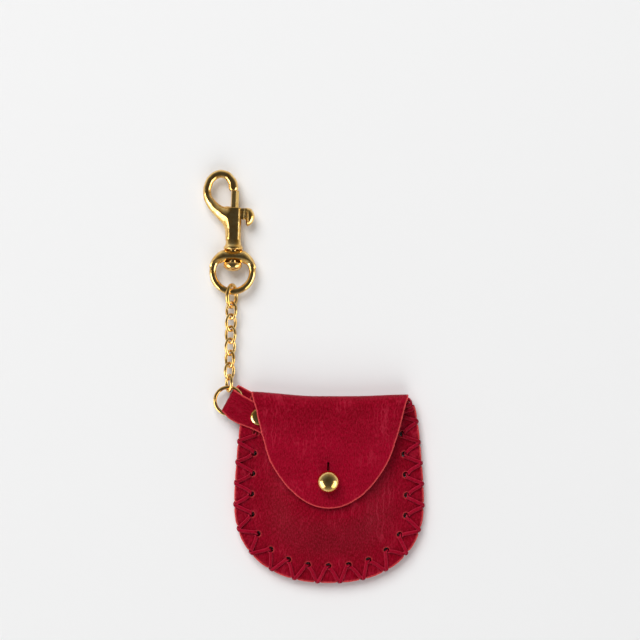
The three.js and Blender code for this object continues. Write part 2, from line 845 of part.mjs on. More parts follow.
function connector() {
  const geometry = loop(new Oval(connectorLength, connectorWidth, connectorWire), connectorWire, 22, 8);
  return geometry.rotateY(THREE.MathUtils.degToRad(connectorTiltDegrees)).translate(0, connectorAt, 0);
}

const jumpRing = () => new THREE.TorusGeometry(ringRadius, ringWire / 2, 8, 32);

// Swivel eye: a round wire loop with a thick arched bridge that the stem turns in
function eyeBridge() {
  const shape = new THREE.Shape();
  const start = Math.asin(eyeBridgeArchEnd / eyeBridgeOuter);
  const outer = eyeBridgeOuter - eyeBridgeBevel;
  const arch = eyeBridgeArch + eyeBridgeBevel;
  for (let i = 0; i <= 12; i++) {
    const turn = THREE.MathUtils.lerp(start, Math.PI - start, i / 12);
    const y = Math.min(outer * Math.sin(turn), eyeBridgeTop - eyeBridgeBevel);
    if (i === 0) shape.moveTo(outer * Math.cos(turn), y);
    else shape.lineTo(outer * Math.cos(turn), y);
  }
  for (let i = 1; i < 8; i++) {
    const across = THREE.MathUtils.lerp(-1, 1, i / 8);
    const end = outer * Math.cos(start);
    shape.lineTo(end * across, arch + (eyeBridgeArchEnd - eyeBridgeArch) * across ** 2);
  }
  shape.closePath();
  const depth = eyeBridgeThickness - 2 * eyeBridgeBevel;
  const bevel = { bevelEnabled: true, bevelThickness: eyeBridgeBevel, bevelSize: eyeBridgeBevel };
  return new THREE.ExtrudeGeometry(shape, { depth, ...bevel, bevelSegments: 2 }).translate(0, 0, -depth / 2);
}

function swivelEye() {
  const wire = new THREE.TorusGeometry(eyeRadius, eyeWire / 2, 8, 32);
  const bore = rod(stemRadius + seatGap, 0, eyeBridgeOuter + cutOverrun, 16);
  const seat = rod(stemHeadRadius + looseGap, 0, eyeBridgeArch + looseGap, 20);
  const reach = eyeRadius + eyeWire;
  const crest = block(-reach, reach, eyeBridgeTop, reach, -reach, reach);
  return cut(joined(wire, eyeBridge()), bore, seat, crest).translate(0, eyeAt, 0);
}

const stemHeadTop = eyeAt + eyeBridgeArch;

function stem() {
  const bottom = stemHeadTop - stemHeadHeight;
  const profile = [[0, bottom]];
  for (let i = 1; i <= 5; i++) {
    const turn = (Math.PI / 2) * (i / 5);
    const depth = THREE.MathUtils.lerp(stemShoulderShare, 1, Math.cos(turn));
    profile.push([stemHeadRadius * Math.sin(turn), stemHeadTop - stemHeadHeight * depth]);
  }
  profile.push([stemHeadRadius * stemCrownShare, stemHeadTop]);
  profile.push([stemRadius, stemHeadTop], [stemRadius, flangeAt + stemSeat], [0, flangeAt + stemSeat]);
  return lathe(profile, 20);
}

// Snap hook body: flange, barrel with a slot, and the hook that curls to its nose
function flangeAndBarrel() {
  const rings = flangeProfileShares.map(([r, h]) => [flangeRadius * r, flangeAt + flangeHeight * h]);
  const foot = barrelAt + flangeHeight * barrelFootShare;
  return lathe([[0, flangeAt], ...rings, [barrelRadius, foot], [barrelRadius, barrelTop], [0, barrelTop]]);
}

const noseBottom = barrelTop + boltReach + looseGap;

function hookCurve() {
  const points = hookRouteShares.map(([x, y]) => new THREE.Vector3(hookReach * x, barrelTop + hookRise * y, 0));
  points.push(new THREE.Vector3(hookReach * hookNoseShare, noseBottom - hookWireRadius / 2, 0));
  return new THREE.CatmullRomCurve3(points);
}

function hookRadiusAt(share) {
  const root = 1 - smooth(share, 0, hookThinningShare);
  const nose = smooth(share, hookThickeningShare, 1);
  return hookWireRadius + (hookRootRadius - hookWireRadius) * root + (hookNoseRadius - hookWireRadius) * nose;
}

function hookBody() {
  const hook = taperedTube(hookCurve(), hookRadiusAt, 26, 10);
  const boreBottom = barrelAt + boreFloor;
  const bore = rod(boreRadius, boreBottom, barrelTop + cutOverrun, 16);
  const halfSlot = leverWidth / 2 + looseGap;
  const slotBottom = barrelTop - leverHeight - triggerTravel - looseGap;
  const slot = block(0, barrelRadius + cutOverrun, slotBottom, barrelTop + cutOverrun, -halfSlot, halfSlot);
  const stemHole = rod(stemRadius + seatGap, flangeAt - cutOverrun, flangeAt + stemSeat + looseGap, 16);
  const nose = rod(flangeRadius, noseBottom - cutOverrun, noseBottom, 12);
  return cut(joined(flangeAndBarrel(), hook), bore, slot, stemHole, nose);
}

// Bolt with its thumb lever, one casting
function claw() {
  const shape = new THREE.Shape();
  const inner = leverNeckReach - leverWidth / 4 + clawBevel;
  const outer = clawReach - clawBevel;
  const top = barrelTop - clawBevel;
  const bottom = barrelTop - leverHeight - clawDrop + clawBevel;
  shape.moveTo(inner, top);
  shape.bezierCurveTo(outer, top, outer + clawBevel / 2, top - leverHeight / 2, outer, top - leverHeight);
  shape.lineTo(inner + clawBevel, bottom);
  shape.lineTo(inner, bottom + clawBevel);
  shape.closePath();
  const depth = clawThickness - 2 * clawBevel;
  const bevel = { bevelEnabled: true, bevelThickness: clawBevel, bevelSize: clawBevel, bevelSegments: 1 };
  const geometry = new THREE.ExtrudeGeometry(shape, { depth, ...bevel, curveSegments: 6 });
  return geometry.translate(0, 0, -depth / 2);
}

function triggerBolt() {
  const bolt = rod(boltRadius, barrelTop - boltTail, barrelTop + boltReach, 16);
  const neckBottom = barrelTop - leverHeight;
  const neck = block(0, leverNeckReach, neckBottom, barrelTop - seatGap, -leverWidth / 2, leverWidth / 2);
  return joined(bolt, neck, claw());
}

function boltSpring() {
  const bottom = barrelAt + boreFloor + looseGap + springWire / 2;
  const top = barrelTop - boltTail - looseGap - springWire / 2;
  const points = [];
  const steps = springTurns * springSteps;
  for (let i = 0; i <= steps; i++) {
    const turn = (2 * Math.PI * i) / springSteps;
    const y = THREE.MathUtils.lerp(bottom, top, i / steps);
    points.push(new THREE.Vector3(springRadius * Math.cos(turn), y, springRadius * Math.sin(turn)));
  }
  return tubeAlong(points, springWire / 2, 5);
}

// The scene graph
const pouchCharm = new THREE.Group();
const pouch = new THREE.Group();
const chainLine = new THREE.Group();
chainLine.position.set(ringX, ringY, lineZ);
chainLine.rotation.z = lineLean;
pouchCharm.add(pouch, chainLine);

function place(group, name, geometry, finish) {
  const mesh = new THREE.Mesh(geometry, new THREE.MeshStandardMaterial(finish));
  mesh.name = name;
  group.add(mesh);
}

place(pouch, "back_panel", backPanel(), hide);
place(pouch, "front_panel", frontPanel(), hide);
place(pouch, "flap", flap(), hide);
place(pouch, "lace_forward", tubeAlong(forwardRoute, laceRadius, laceSides), thong);
place(pouch, "lace_return", tubeAlong(returnRoute, laceRadius, laceSides), thong);
place(pouch, "stud_head", studHead(), gilt);
place(pouch, "stud_screw", studScrew(), gilt);
place(pouch, "strap_loop", strap(), hide);
place(pouch, "strap_rivet_cap", rivetCap(), gilt);
place(pouch, "strap_rivet_back", rivetRear(), gilt);
place(chainLine, "jump_ring", jumpRing(), gilt);
linkTiltDegrees.forEach((tilt, i) => {
  const at = firstLinkAt - i * linkPitch;
  place(chainLine, `chain_link_${i + 2}`, link(at, tilt), gilt);
});
place(chainLine, "connector_link", connector(), gilt);
place(chainLine, "swivel_eye", swivelEye(), gilt);
place(chainLine, "swivel_stem", stem(), gilt);
place(chainLine, "snap_hook_body", hookBody(), gilt);
place(chainLine, "trigger_bolt", triggerBolt(), gilt);
place(chainLine, "bolt_spring", boltSpring(), steel);

export default pouchCharm;
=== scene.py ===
# %% [markdown]
# # A laced leather pouch on a short chain
# This lesson dresses a small red leather pouch that hangs from a gold snap hook.
# The solids of the part are already there as a fixed frame. Each cell makes one piece
# or one finish in its place, and says how it could be made and why this way was chosen.
# All meshes are modelled in millimetres, and scaled to metres when they are finished.

# %% Load the frame
import math

import bmesh
import bpy
import numpy as np
from mathutils import Matrix, Vector, kdtree, noise


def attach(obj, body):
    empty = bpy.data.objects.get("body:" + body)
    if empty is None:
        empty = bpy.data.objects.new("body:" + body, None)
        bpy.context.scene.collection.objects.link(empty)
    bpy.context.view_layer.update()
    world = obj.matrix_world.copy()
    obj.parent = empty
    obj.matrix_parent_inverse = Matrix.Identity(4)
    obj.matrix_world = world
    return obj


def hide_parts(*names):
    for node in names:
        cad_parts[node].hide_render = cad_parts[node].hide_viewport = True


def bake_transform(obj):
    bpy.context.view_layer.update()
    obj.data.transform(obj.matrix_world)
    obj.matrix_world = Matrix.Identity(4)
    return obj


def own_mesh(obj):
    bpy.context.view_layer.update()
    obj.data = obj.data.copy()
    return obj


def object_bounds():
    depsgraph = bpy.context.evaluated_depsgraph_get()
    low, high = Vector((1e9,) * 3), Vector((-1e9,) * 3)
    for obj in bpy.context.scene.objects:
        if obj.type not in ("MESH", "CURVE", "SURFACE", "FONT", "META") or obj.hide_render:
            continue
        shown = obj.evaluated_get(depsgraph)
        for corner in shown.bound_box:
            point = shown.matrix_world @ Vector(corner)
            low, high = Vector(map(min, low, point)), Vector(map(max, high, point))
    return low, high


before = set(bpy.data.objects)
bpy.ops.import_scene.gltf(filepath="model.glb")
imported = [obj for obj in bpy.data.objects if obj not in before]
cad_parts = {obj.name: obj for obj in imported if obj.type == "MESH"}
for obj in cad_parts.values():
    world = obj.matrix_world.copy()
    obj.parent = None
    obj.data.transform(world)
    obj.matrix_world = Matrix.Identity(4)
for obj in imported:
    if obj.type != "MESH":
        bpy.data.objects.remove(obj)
cad_box = [list(corner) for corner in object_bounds()]
MM = 0.001
scene = bpy.context.scene


def new_object(name, data):
    made = bpy.data.objects.new(name, data)
    scene.collection.objects.link(made)
    return made


def new_mesh(name, points=(), edges=(), faces=()):
    mesh = bpy.data.meshes.new(name)
    mesh.from_pydata(points, edges, faces)
    return new_object(name, mesh)


# %% [markdown]
# ## Camera
# The picture is taken from straight above with a long lens, so the sides of the pouch
# hardly show. A 100 mm lens 658 mm up gives a field 237 mm wide on the table.

# %% Camera
LENS, SENSOR = 100, 36
FIELD_CENTRE = (-3.33, 61.98)
CAMERA_HEIGHT = 658

camera = new_object("camera", bpy.data.cameras.new("camera"))
camera.data.lens = LENS
camera.data.sensor_width = SENSOR
camera.location = (FIELD_CENTRE[0] * MM, FIELD_CENTRE[1] * MM, CAMERA_HEIGHT * MM)
scene.camera = camera
scene.view_settings.view_transform = "Standard"

# %% [markdown]
# ## Node helpers
# Materials and node trees are built from the same two steps: add a node and fill its
# sockets, with a value or with a link. A node given as an input means its first output,
# which is nearly always the one that is wanted, so a tree reads like a formula. Names
# with a capital are sockets, with underscores for spaces, and the others are settings.

# %% Node helpers
def fill(made, *values, **named):
    """Fill a node's sockets from values, output sockets or other nodes."""
    for socket, value in (dict(enumerate(values)) | named).items():
        place = made.inputs[socket.replace("_", " ") if isinstance(socket, str) else socket]
        if isinstance(value, bpy.types.Node):
            value = value.outputs[0]
        if isinstance(value, bpy.types.NodeSocket):
            made.id_data.links.new(value, place)
        else:
            place.default_value = value
    return made


def node(tree, kind, *values, **named):
    """A new node, with its settings and sockets."""
    made = tree.nodes.new(kind)
    for name in [name for name in named if name.islower()]:
        setattr(made, name, named.pop(name))
    return fill(made, *values, **named)


def maths(tree, operation, *values, **settings):
    return node(tree, "ShaderNodeMath", *values, operation=operation, **settings)


def ranged(tree, value, low, high, start=0, end=1):
    """The value moved from the range low to high into the range start to end."""
    return node(tree, "ShaderNodeMapRange", Value=value, From_Min=low, From_Max=high, To_Min=start, To_Max=end)


def speckle(tree, where, scale, detail=2, roughness=0.5):
    return node(tree, "ShaderNodeTexNoise", Vector=where, Scale=scale, Detail=detail, Roughness=roughness)


def ramp(tree, factor, stops):
    """A colour ramp through (position, colour) stops; a colour may be one grey value."""
    made = node(tree, "ShaderNodeValToRGB", Fac=factor)
    elements = made.color_ramp.elements
    while len(elements) < len(stops):
        elements.new(0.5)
    for element, (place, colour) in zip(elements, stops):
        element.position = place
        element.color = (*colour, 1) if isinstance(colour, tuple) else (colour, colour, colour, 1)
    return made


def fresh_material(name, metallic, colour, roughness):
    """A material whose shader has its constants on its own sockets."""
    material = bpy.data.materials.new(name)
    material.use_nodes = True
    tree = material.node_tree
    shader = tree.nodes["Principled BSDF"]
    return material, tree, fill(shader, Metallic=metallic, Base_Color=(*colour, 1), Roughness=roughness)


# %% [markdown]
# ## Light
# The gold needs something to reflect: it is dark where it sees the dim ceiling and bright
# where it sees the table, the horizon or a lamp. The world is a soft vertical gradient,
# pale at the horizon and dim overhead. Two low softboxes in front only show in the metal,
# as the two glints on every round fitting. A key lamp behind gives the shadow towards the
# lower right, and a fill lamp in front softens it. Both are flagged off the metal, as a
# studio would do.

# %% World and softboxes
world = bpy.data.worlds.new("studio")
scene.world = world
world.use_nodes = True
sky = world.node_tree
direction = node(sky, "ShaderNodeTexCoord").outputs["Generated"]
height = node(sky, "ShaderNodeSeparateXYZ", Vector=direction).outputs["Z"]
glow = ramp(sky, height, [(0.0, 0.85), (0.15, 0.6), (0.35, 0.32), (0.6, 0.17), (0.82, 0.09), (1.0, 0.06)])
fill(sky.nodes["Background"], Color=glow)
LOOK_AT = Vector((-3, 55, 4)) * MM


def softbox(name, azimuth, elevation, distance, size, radiance):
    """An area lamp that looks at the pouch; azimuth 0 is behind it (+Y), clockwise."""
    turn, lift = math.radians(azimuth), math.radians(elevation)
    away = Vector((math.sin(turn) * math.cos(lift), math.cos(turn) * math.cos(lift), math.sin(lift)))
    lamp = bpy.data.lights.new(name, "AREA")
    lamp.shape = "RECTANGLE"
    lamp.size, lamp.size_y = size
    lamp.energy = radiance * math.pi * size[0] * size[1]
    holder = new_object(name, lamp)
    holder.location = LOOK_AT + away * distance
    holder.rotation_euler = away.to_track_quat("Z", "Y").to_euler()
    return holder


softbox("key_lamp", -25, 49, 3.4, (2.4, 2.4), 5.8).visible_glossy = False
softbox("fill_lamp", 176, 44, 3.4, (3, 3), 1.5).visible_glossy = False
for name, azimuth in (("front_left_lamp", 243), ("front_right_lamp", 117)):
    softbox(name, azimuth, 27, 2.2, (2.0, 1.3), 4.2).visible_diffuse = False

# %% [markdown]
# ## Table
# A plain pale table keeps the soft shadow, which shows that the pouch lies on it.

# %% Table
FLOOR_REACH, FLOOR_DROP = 4, 0.0001
floor_material, _, floor_shader = fresh_material("table", 0, (0.9, 0.9, 0.9), 0.95)
fill(floor_shader, Specular_IOR_Level=0)
corners = [(-1, -1), (1, -1), (1, 1), (-1, 1)]
table = new_mesh("table", [(x * FLOOR_REACH, y * FLOOR_REACH, 0) for x, y in corners], faces=[(0, 1, 2, 3)])
table.data.materials.append(floor_material)
lowest = min(cad_box[0][2], 0) - FLOOR_DROP
table.location.z = lowest
print("table at", round(lowest * 1000, 2), "mm")

# %% [markdown]
# ## Leather finish
# The hide is crimson, with a fine grain that runs along the pouch, paler wrinkles here
# and there, and pores. Its cut edges and the rims of its holes are paler and pinker,
# because the dye doesn't reach the core; on the laces, the pale sides are also a painted
# highlight. The pattern reads the piece's own flat UV map, in units of 100 mm, so it
# follows the leather round its fold: a scale of 220 is a grain of about half a millimetre.
# Two attributes, the distance from the cut edge and from the nearest hole, place the pale rims.

# %% Leather finish
GRAIN, DUST, RAG, PORE, VEIN, WARP, CLOUD = 220, 240, 160, 420, 52, 22, 7
BLOOM, WRINKLE = (0.46, 0.017, 0.045), (0.55, 0.035, 0.07)


def leather_material(name, deep, bright, rim, rim_width):
    material, tree, shader = fresh_material(name, 0, deep, 0.5)
    flat = node(tree, "ShaderNodeUVMap", uv_map="flat")
    along = node(tree, "ShaderNodeMapping", Vector=flat, Scale=(1, 0.38, 1))
    grain = speckle(tree, along, GRAIN, 6, 0.75)
    cloud = speckle(tree, flat, CLOUD, 4, 0.6)
    tone = node(tree, "ShaderNodeMix", Factor=0.78, A=cloud, B=grain)

    along_hide = node(tree, "ShaderNodeSeparateXYZ", Vector=flat).outputs["Y"]
    # The flap's stretch of the hide is made paler, and the back and the front darker.
    flap_paler = ranged(tree, along_hide, 0.44, 0.56, -0.16, 0.16)
    dye = maths(tree, "ADD", ranged(tree, tone, 0.41, 0.61), flap_paler, use_clamp=True)
    dyed = ramp(tree, dye, [(0.0, deep), (1.0, bright)])

    warp = speckle(tree, flat, WARP).outputs["Color"]
    bent = node(tree, "ShaderNodeMixRGB", Fac=0.028, Color1=flat, Color2=warp)
    drawn = node(tree, "ShaderNodeMapping", Vector=bent, Scale=(1, 0.05, 1))
    vein = node(tree, "ShaderNodeTexVoronoi", Vector=drawn, Scale=VEIN, feature="DISTANCE_TO_EDGE")
    vein_line = ranged(tree, vein, 0, 0.09, 1, 0)
    wrinkle = maths(tree, "MULTIPLY", vein_line, ranged(tree, cloud, 0.5, 0.66, 0.03, 0.42))
    bloom = ranged(tree, speckle(tree, along, DUST, 3, 0.8), 0.46, 0.66, 0, 0.4)
    for share, colour in ((bloom, BLOOM), (wrinkle, WRINKLE)):
        dyed = node(tree, "ShaderNodeMixRGB", Fac=share, Color1=dyed, Color2=(*colour, 1))

    edge = node(tree, "ShaderNodeAttribute", attribute_name="edge_mm").outputs["Fac"]
    hole = node(tree, "ShaderNodeAttribute", attribute_name="hole_mm").outputs["Fac"]
    near_edge = maths(tree, "MULTIPLY_ADD", speckle(tree, flat, RAG, 3), -rim_width * 0.9, edge)
    pale_edge = ranged(tree, near_edge, -rim_width * 0.2, rim_width * 0.5, 0.85, 0)
    pale = maths(tree, "MAXIMUM", pale_edge, ranged(tree, hole, 0.05, 0.55, 0.4, 0))
    colour = node(tree, "ShaderNodeMixRGB", Fac=pale, Color1=dyed, Color2=(*rim, 1))

    pores = node(tree, "ShaderNodeTexVoronoi", Vector=flat, Scale=PORE)
    relief = node(tree, "ShaderNodeMix", Factor=0.3, A=grain, B=pores)
    raised = maths(tree, "MULTIPLY_ADD", wrinkle, 0.6, relief)
    bump = node(tree, "ShaderNodeBump", Height=raised, Strength=0.35, Distance=0.0002)
    fill(shader, Specular_IOR_Level=0.035, Base_Color=colour, Normal=bump,
         Roughness=ranged(tree, tone, 0.3, 0.7, 0.48, 0.36))
    return material


DEEP_RED, BRIGHT_RED = (0.16, 0.0005, 0.005), (0.34, 0.0015, 0.02)
# The laces' rim colour is partly their cut edge and partly a painted highlight along both sides.
CUT_EDGE, CUT_LACE_AND_HIGHLIGHT = (0.76, 0.085, 0.085), (0.48, 0.022, 0.055)
hide = leather_material("crimson_hide", DEEP_RED, BRIGHT_RED, CUT_EDGE, 0.66)
thong = leather_material("lace_hide", DEEP_RED, BRIGHT_RED, CUT_LACE_AND_HIGHLIGHT, 0.24)

# %% [markdown]
# ## Gold finish
# The fittings are cast or drawn, plated and polished, with a slightly uneven shine. Metal
# gets its look from what it reflects, so the material only varies in tone and roughness.


# %% Gold and steel finishes
def metal_material(name, pale, deep, low, high, scale):
    material, tree, shader = fresh_material(name, 1, pale, low)
    here = node(tree, "ShaderNodeTexCoord").outputs["Object"]
    wear = speckle(tree, here, scale, 5, 0.65)
    fine = speckle(tree, here, scale * 6, 3)
    fill(shader, Base_Color=ramp(tree, wear, [(0.35, deep), (0.62, pale)]),
         Roughness=ranged(tree, wear, 0.35, 0.65, high, low),
         Normal=node(tree, "ShaderNodeBump", Height=fine, Strength=0.06, Distance=0.0001))
    return material


gold = metal_material("gold_plate", (0.93, 0.65, 0.26), (0.7, 0.38, 0.08), 0.11, 0.22, 420)
steel = metal_material("spring_wire", (0.7, 0.7, 0.68), (0.5, 0.5, 0.48), 0.22, 0.35, 600)

# %% [markdown]
# ## Mesh helpers
# A mesh is made from arrays of points and faces. `finished` scales it to metres and hands
# it to its body. `gilded` does so for the fittings on the chain's line, which leans a
# little from the centre of the ring.

# %% Mesh helpers
RING_CENTRE = (-37, 32.3, 3.8)
LINE_LEAN = math.radians(-1.8)
ON_LINE = Matrix.Translation(Vector(RING_CENTRE)) @ Matrix.Rotation(LINE_LEAN, 4, "Z")
SAME_POINT, NO_LENGTH = 1e-4, 1e-5


def mesh_object(name, points, faces):
    """An object of a closed mesh, its double points merged and its faces turned outwards."""
    made = new_mesh(name, [tuple(p) for p in points], faces=faces)
    shape = bmesh.new()
    shape.from_mesh(made.data)
    bmesh.ops.remove_doubles(shape, verts=shape.verts, dist=SAME_POINT)
    bmesh.ops.dissolve_degenerate(shape, edges=shape.edges, dist=NO_LENGTH)
    bmesh.ops.recalc_face_normals(shape, faces=shape.faces)
    shape.to_mesh(made.data)
    shape.free()
    return made


def plain(piece):
    """The piece with its modifiers applied."""
    evaluated = piece.evaluated_get(bpy.context.evaluated_depsgraph_get())
    piece.data = bpy.data.meshes.new_from_object(evaluated)
    piece.modifiers.clear()
    return piece


def cut(piece, *tools):
    """The piece less the tools, which are thrown away."""
    for tool in tools:
        modifier = piece.modifiers.new("cut", "BOOLEAN")
        modifier.solver = "MANIFOLD"
        modifier.object = tool
    plain(piece)
    for tool in tools:
        bpy.data.objects.remove(tool)
    return piece


def moved(piece, x, y, z=0):
    piece.data.transform(Matrix.Translation((x, y, z)))
    return piece


def finished(piece, body, nodes, material, line=False, crease=None):
    """Metres, materials, shading and the body that the piece rides on."""
    mesh = piece.data
    mesh.transform(Matrix.Scale(MM, 4) @ (ON_LINE if line else Matrix.Identity(4)))
    mesh.materials.clear()
    mesh.materials.append(material)
    mesh.shade_smooth()
    if crease:
        mesh.set_sharp_from_angle(angle=math.radians(crease))
    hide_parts(*nodes)
    if body:
        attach(piece, body)
    print(piece.name, len(mesh.polygons), "faces")
    return piece


def gilded(piece, body, cad_node, crease=None):
    return finished(piece, body, [cad_node], gold, line=True, crease=crease)


def smooth(value, low, high):
    """A soft step from 0 at low to 1 at high."""
    share = np.clip((np.asarray(value, float) - low) / (high - low), 0, 1)
    return share * share * (3 - 2 * share)


def distance_to_line(points, line):
    """Least distance in the plane from each point to a polyline."""
    start, step = line[:-1], np.diff(line, axis=0)
    least = np.empty(len(points))
    for first in range(0, len(points), 2000):
        some = points[first:first + 2000, None, :] - start[None]
        share = np.clip((some * step).sum(2) / (step * step).sum(1), 0, 1)
        least[first:first + 2000] = np.linalg.norm(some - share[..., None] * step, axis=2).min(1)
    return least


# %% [markdown]
# ## The hide's shape
# The pouch is two pieces of leather. One is the back, which folds over the mouth and
# becomes the flap. The other is the front. Both are ruled by the same outline: nearly
# straight sides, and a round bottom. The front is lifted in a low crown inside its rim,
# because the pouch holds something, and the rim is laced flat.

# %% Outline and levels of the hide
THICKNESS, SEAT_GAP, RIM_LIFT = 1.2, 0.2, 1.1
HALF_WIDTH, WIDEST_Y, BOTTOM_DEPTH, CORNER_POWER = 33.5, -5, 28.4, 2.3
SIDE_TAPER, SHOULDER_TUCK = 3.4, 1.6
FOLD_TOP, FOLD_HALF = 34.4, 28.8
FLAP_UNDER, FLAP_TIP, FLAP_DROOP, FLAP_POWER = 8.9, -6.8, 0.8, 1.55
BLUNT = 0.3
FOLD_RADIUS = (FLAP_UNDER + THICKNESS / 2 - RIM_LIFT - THICKNESS / 2) / 2
FOLD_START = FOLD_TOP - FOLD_RADIUS - THICKNESS / 2
FOLD_CENTRE = RIM_LIFT + THICKNESS / 2 + FOLD_RADIUS
FRONT_TOP = 30.4
CORNER_LIFT = 0.9
CROWN, CROWN_FOOT, CROWN_TOP = 4.2, 7, 23.5
BELLY_FOOT, BELLY_TOP = 10.5, 17


def body_half(y):
    down = np.clip((WIDEST_Y - y) / BOTTOM_DEPTH, 0, 1)
    up = np.clip((y - WIDEST_Y) / (FOLD_TOP - WIDEST_Y), 0, 1)
    round_half = np.maximum(HALF_WIDTH * (1 - down**CORNER_POWER) ** (1 / CORNER_POWER), BLUNT)
    return np.where(y < WIDEST_Y, round_half, HALF_WIDTH - SIDE_TAPER * up**1.5 - SHOULDER_TUCK * up**10)


def flap_half(y):
    share = np.clip((FOLD_TOP - y) / (FOLD_TOP - FLAP_TIP), 0, 1)
    return np.maximum(FOLD_HALF * np.sqrt(1 - share**FLAP_POWER), BLUNT)


def body_levels(top, round_steps, side_steps):
    turns = np.linspace(math.pi / 2, 0, round_steps, endpoint=False)
    low = WIDEST_Y - BOTTOM_DEPTH * np.sin(turns) ** (2 / CORNER_POWER)
    return np.concatenate([low, np.linspace(WIDEST_Y, top, side_steps + 1)])


right_edge = np.array([(body_half(y), y) for y in body_levels(FOLD_TOP, 40, 40)])
left_edge = right_edge[1:] * (-1, 1)
body_edge = np.concatenate([left_edge[::-1], right_edge])


def depth_inside(x, y):
    """How far inside the outline a place lies."""
    return distance_to_line(np.column_stack([x, y]), body_edge)


def lift(x, y):
    """The rim's height: a little more at the upper left corner, over the strap's rear leg."""
    return RIM_LIFT + CORNER_LIFT * smooth(y, 7, 19) * smooth(-x, 11, 18)


def back_under(x, y):
    return lift(x, y) * (1 - smooth(depth_inside(x, y), BELLY_FOOT, BELLY_TOP) * smooth(FOLD_START - y, 1, 8))


def front_under(x, y):
    return lift(x, y) + THICKNESS + SEAT_GAP + CROWN * smooth(depth_inside(x, y), CROWN_FOOT, CROWN_TOP)


def flap_under(x, y):
    return FLAP_UNDER - FLAP_DROOP * smooth(np.abs(x), 9, 24) * smooth(FOLD_START - y, 4, 15)


print("fold radius", round(FOLD_RADIUS, 2), "mm, outline of", len(body_edge), "points")

# %% [markdown]
# ## Lacing holes
# Twenty holes follow the outline 4.8 mm inside it, at even steps between a first and a
# last height, and one more takes the corner wraps. They are worked out once, because the
# leather, its pale rims, its dimples and the laces all need them. At the back, the ends of
# the laces fill the outer ones.

# %% Lacing holes
HOLE_COUNT, HOLE_INSET, HOLE_RADIUS = 20, 4.8, 1.1
FIRST_HOLE_Y, LAST_HOLE_Y, WRAP_PITCH = 20.5, 27.45, 1.6
PUNCH_LOW = -23.5
step_along = np.gradient(body_edge, axis=0)
step_along /= np.linalg.norm(step_along, axis=1)[:, None]
rim_outward = np.column_stack([step_along[:, 1], -step_along[:, 0]])
hole_line = body_edge - rim_outward * HOLE_INSET
hole_lengths = np.concatenate([[0], np.cumsum(np.linalg.norm(np.diff(hole_line, axis=0), axis=1))])
after_first = int(np.argmax(hole_line[:, 1] < FIRST_HOLE_Y))
after_last = int(np.argmax((hole_line[:, 0] > 0) & (hole_line[:, 1] > LAST_HOLE_Y)))


def length_at(y, after):
    share = (y - hole_line[after - 1, 1]) / (hole_line[after, 1] - hole_line[after - 1, 1])
    return hole_lengths[after - 1] * (1 - share) + hole_lengths[after] * share


first_length = length_at(FIRST_HOLE_Y, after_first)
HOLE_PITCH = (length_at(LAST_HOLE_Y, after_last) - first_length) / (HOLE_COUNT - 1)


def on_hole_line(length):
    """Place and outward direction at a length along the line of holes."""
    i = int(np.clip(np.searchsorted(hole_lengths, length), 1, len(hole_lengths) - 1))
    share = (length - hole_lengths[i - 1]) / (hole_lengths[i] - hole_lengths[i - 1])
    along = hole_line[i] - hole_line[i - 1]
    along = along / np.linalg.norm(along)
    return hole_line[i - 1] * (1 - share) + hole_line[i] * share, np.array([along[1], -along[0]])


lengths = [first_length + i * HOLE_PITCH for i in range(HOLE_COUNT)]
lengths.append(lengths[-1] + WRAP_PITCH)
holes = np.array([on_hole_line(length)[0] for length in lengths])
hole_points = new_mesh("hole_points", [(x, y, PUNCH_LOW) for x, y in holes])
back_points = new_mesh("back_points", [(x, y, PUNCH_LOW) for x, y in holes[1:-2]])
print(len(holes), "holes, the first at", np.round(holes[0], 1))

# %% [markdown]
# ## Geometry Nodes helpers
# What repeats is made by a node tree, with its sizes as named inputs. Three helpers begin
# a tree, end it, and grow a plain mesh from it.


# %% Geometry Nodes helpers
def new_tree(name, floats, others=None):
    """A tree with a geometry input and output and named inputs."""
    tree = bpy.data.node_groups.new(name, "GeometryNodeTree")
    sockets = {"Geometry": "Geometry", **(others or {}), **dict.fromkeys(floats, "Float"), "Material": "Material"}
    for label, kind in sockets.items():
        tree.interface.new_socket(label, in_out="INPUT", socket_type="NodeSocket" + kind)
    tree.interface.new_socket("Geometry", in_out="OUTPUT", socket_type="NodeSocketGeometry")
    return tree, node(tree, "NodeGroupInput").outputs


def end_tree(tree, geometry, material):
    """Realize Instances and Set Material end every tree, because the export drops instances."""
    real = node(tree, "GeometryNodeRealizeInstances", Geometry=geometry)
    node(tree, "NodeGroupOutput", Geometry=node(tree, "GeometryNodeSetMaterial", Geometry=real, Material=material))


def grown(tree, name, source=None, **sizes):
    """The plain mesh that a tree makes, from an object or from nothing."""
    piece = source or new_mesh(name)
    modifier = piece.modifiers.new(tree.name, "NODES")
    modifier.node_group = tree
    for item in tree.interface.items_tree:
        if item.in_out == "INPUT" and item.name.lower() in sizes:
            modifier[item.identifier] = sizes[item.name.lower()]
    return plain(piece)


# %% [markdown]
# ## Punching the leather
# Perforations repeat, so a punch is placed on each hole point, and one boolean takes them
# all out of the sheet.

# %% Punch tree
punch, given = new_tree("punch_holes", ["Radius"], {"Holes": "Object"})
places = node(punch, "GeometryNodeObjectInfo", Object=given["Holes"]).outputs["Geometry"]
tool = node(punch, "GeometryNodeMeshCylinder", Vertices=20, Radius=given["Radius"], Depth=60.0)
placed = node(punch, "GeometryNodeInstanceOnPoints", Points=places, Instance=tool)
tools = node(punch, "GeometryNodeRealizeInstances", Geometry=placed)
punched = node(punch, "GeometryNodeMeshBoolean", Mesh_1=given["Geometry"], Mesh_2=tools,
               operation="DIFFERENCE", solver="MANIFOLD")
end_tree(punch, punched, given["Material"])

# %% [markdown]
# ## A sheet of leather
# A sheet is a grid of rows and columns with two faces. Its thickness shrinks near the cut
# edge, which rounds the edge as a burnisher does. The same function makes the panels, the
# flap and the strap. The distance from the cut edge is measured on the flat pattern.

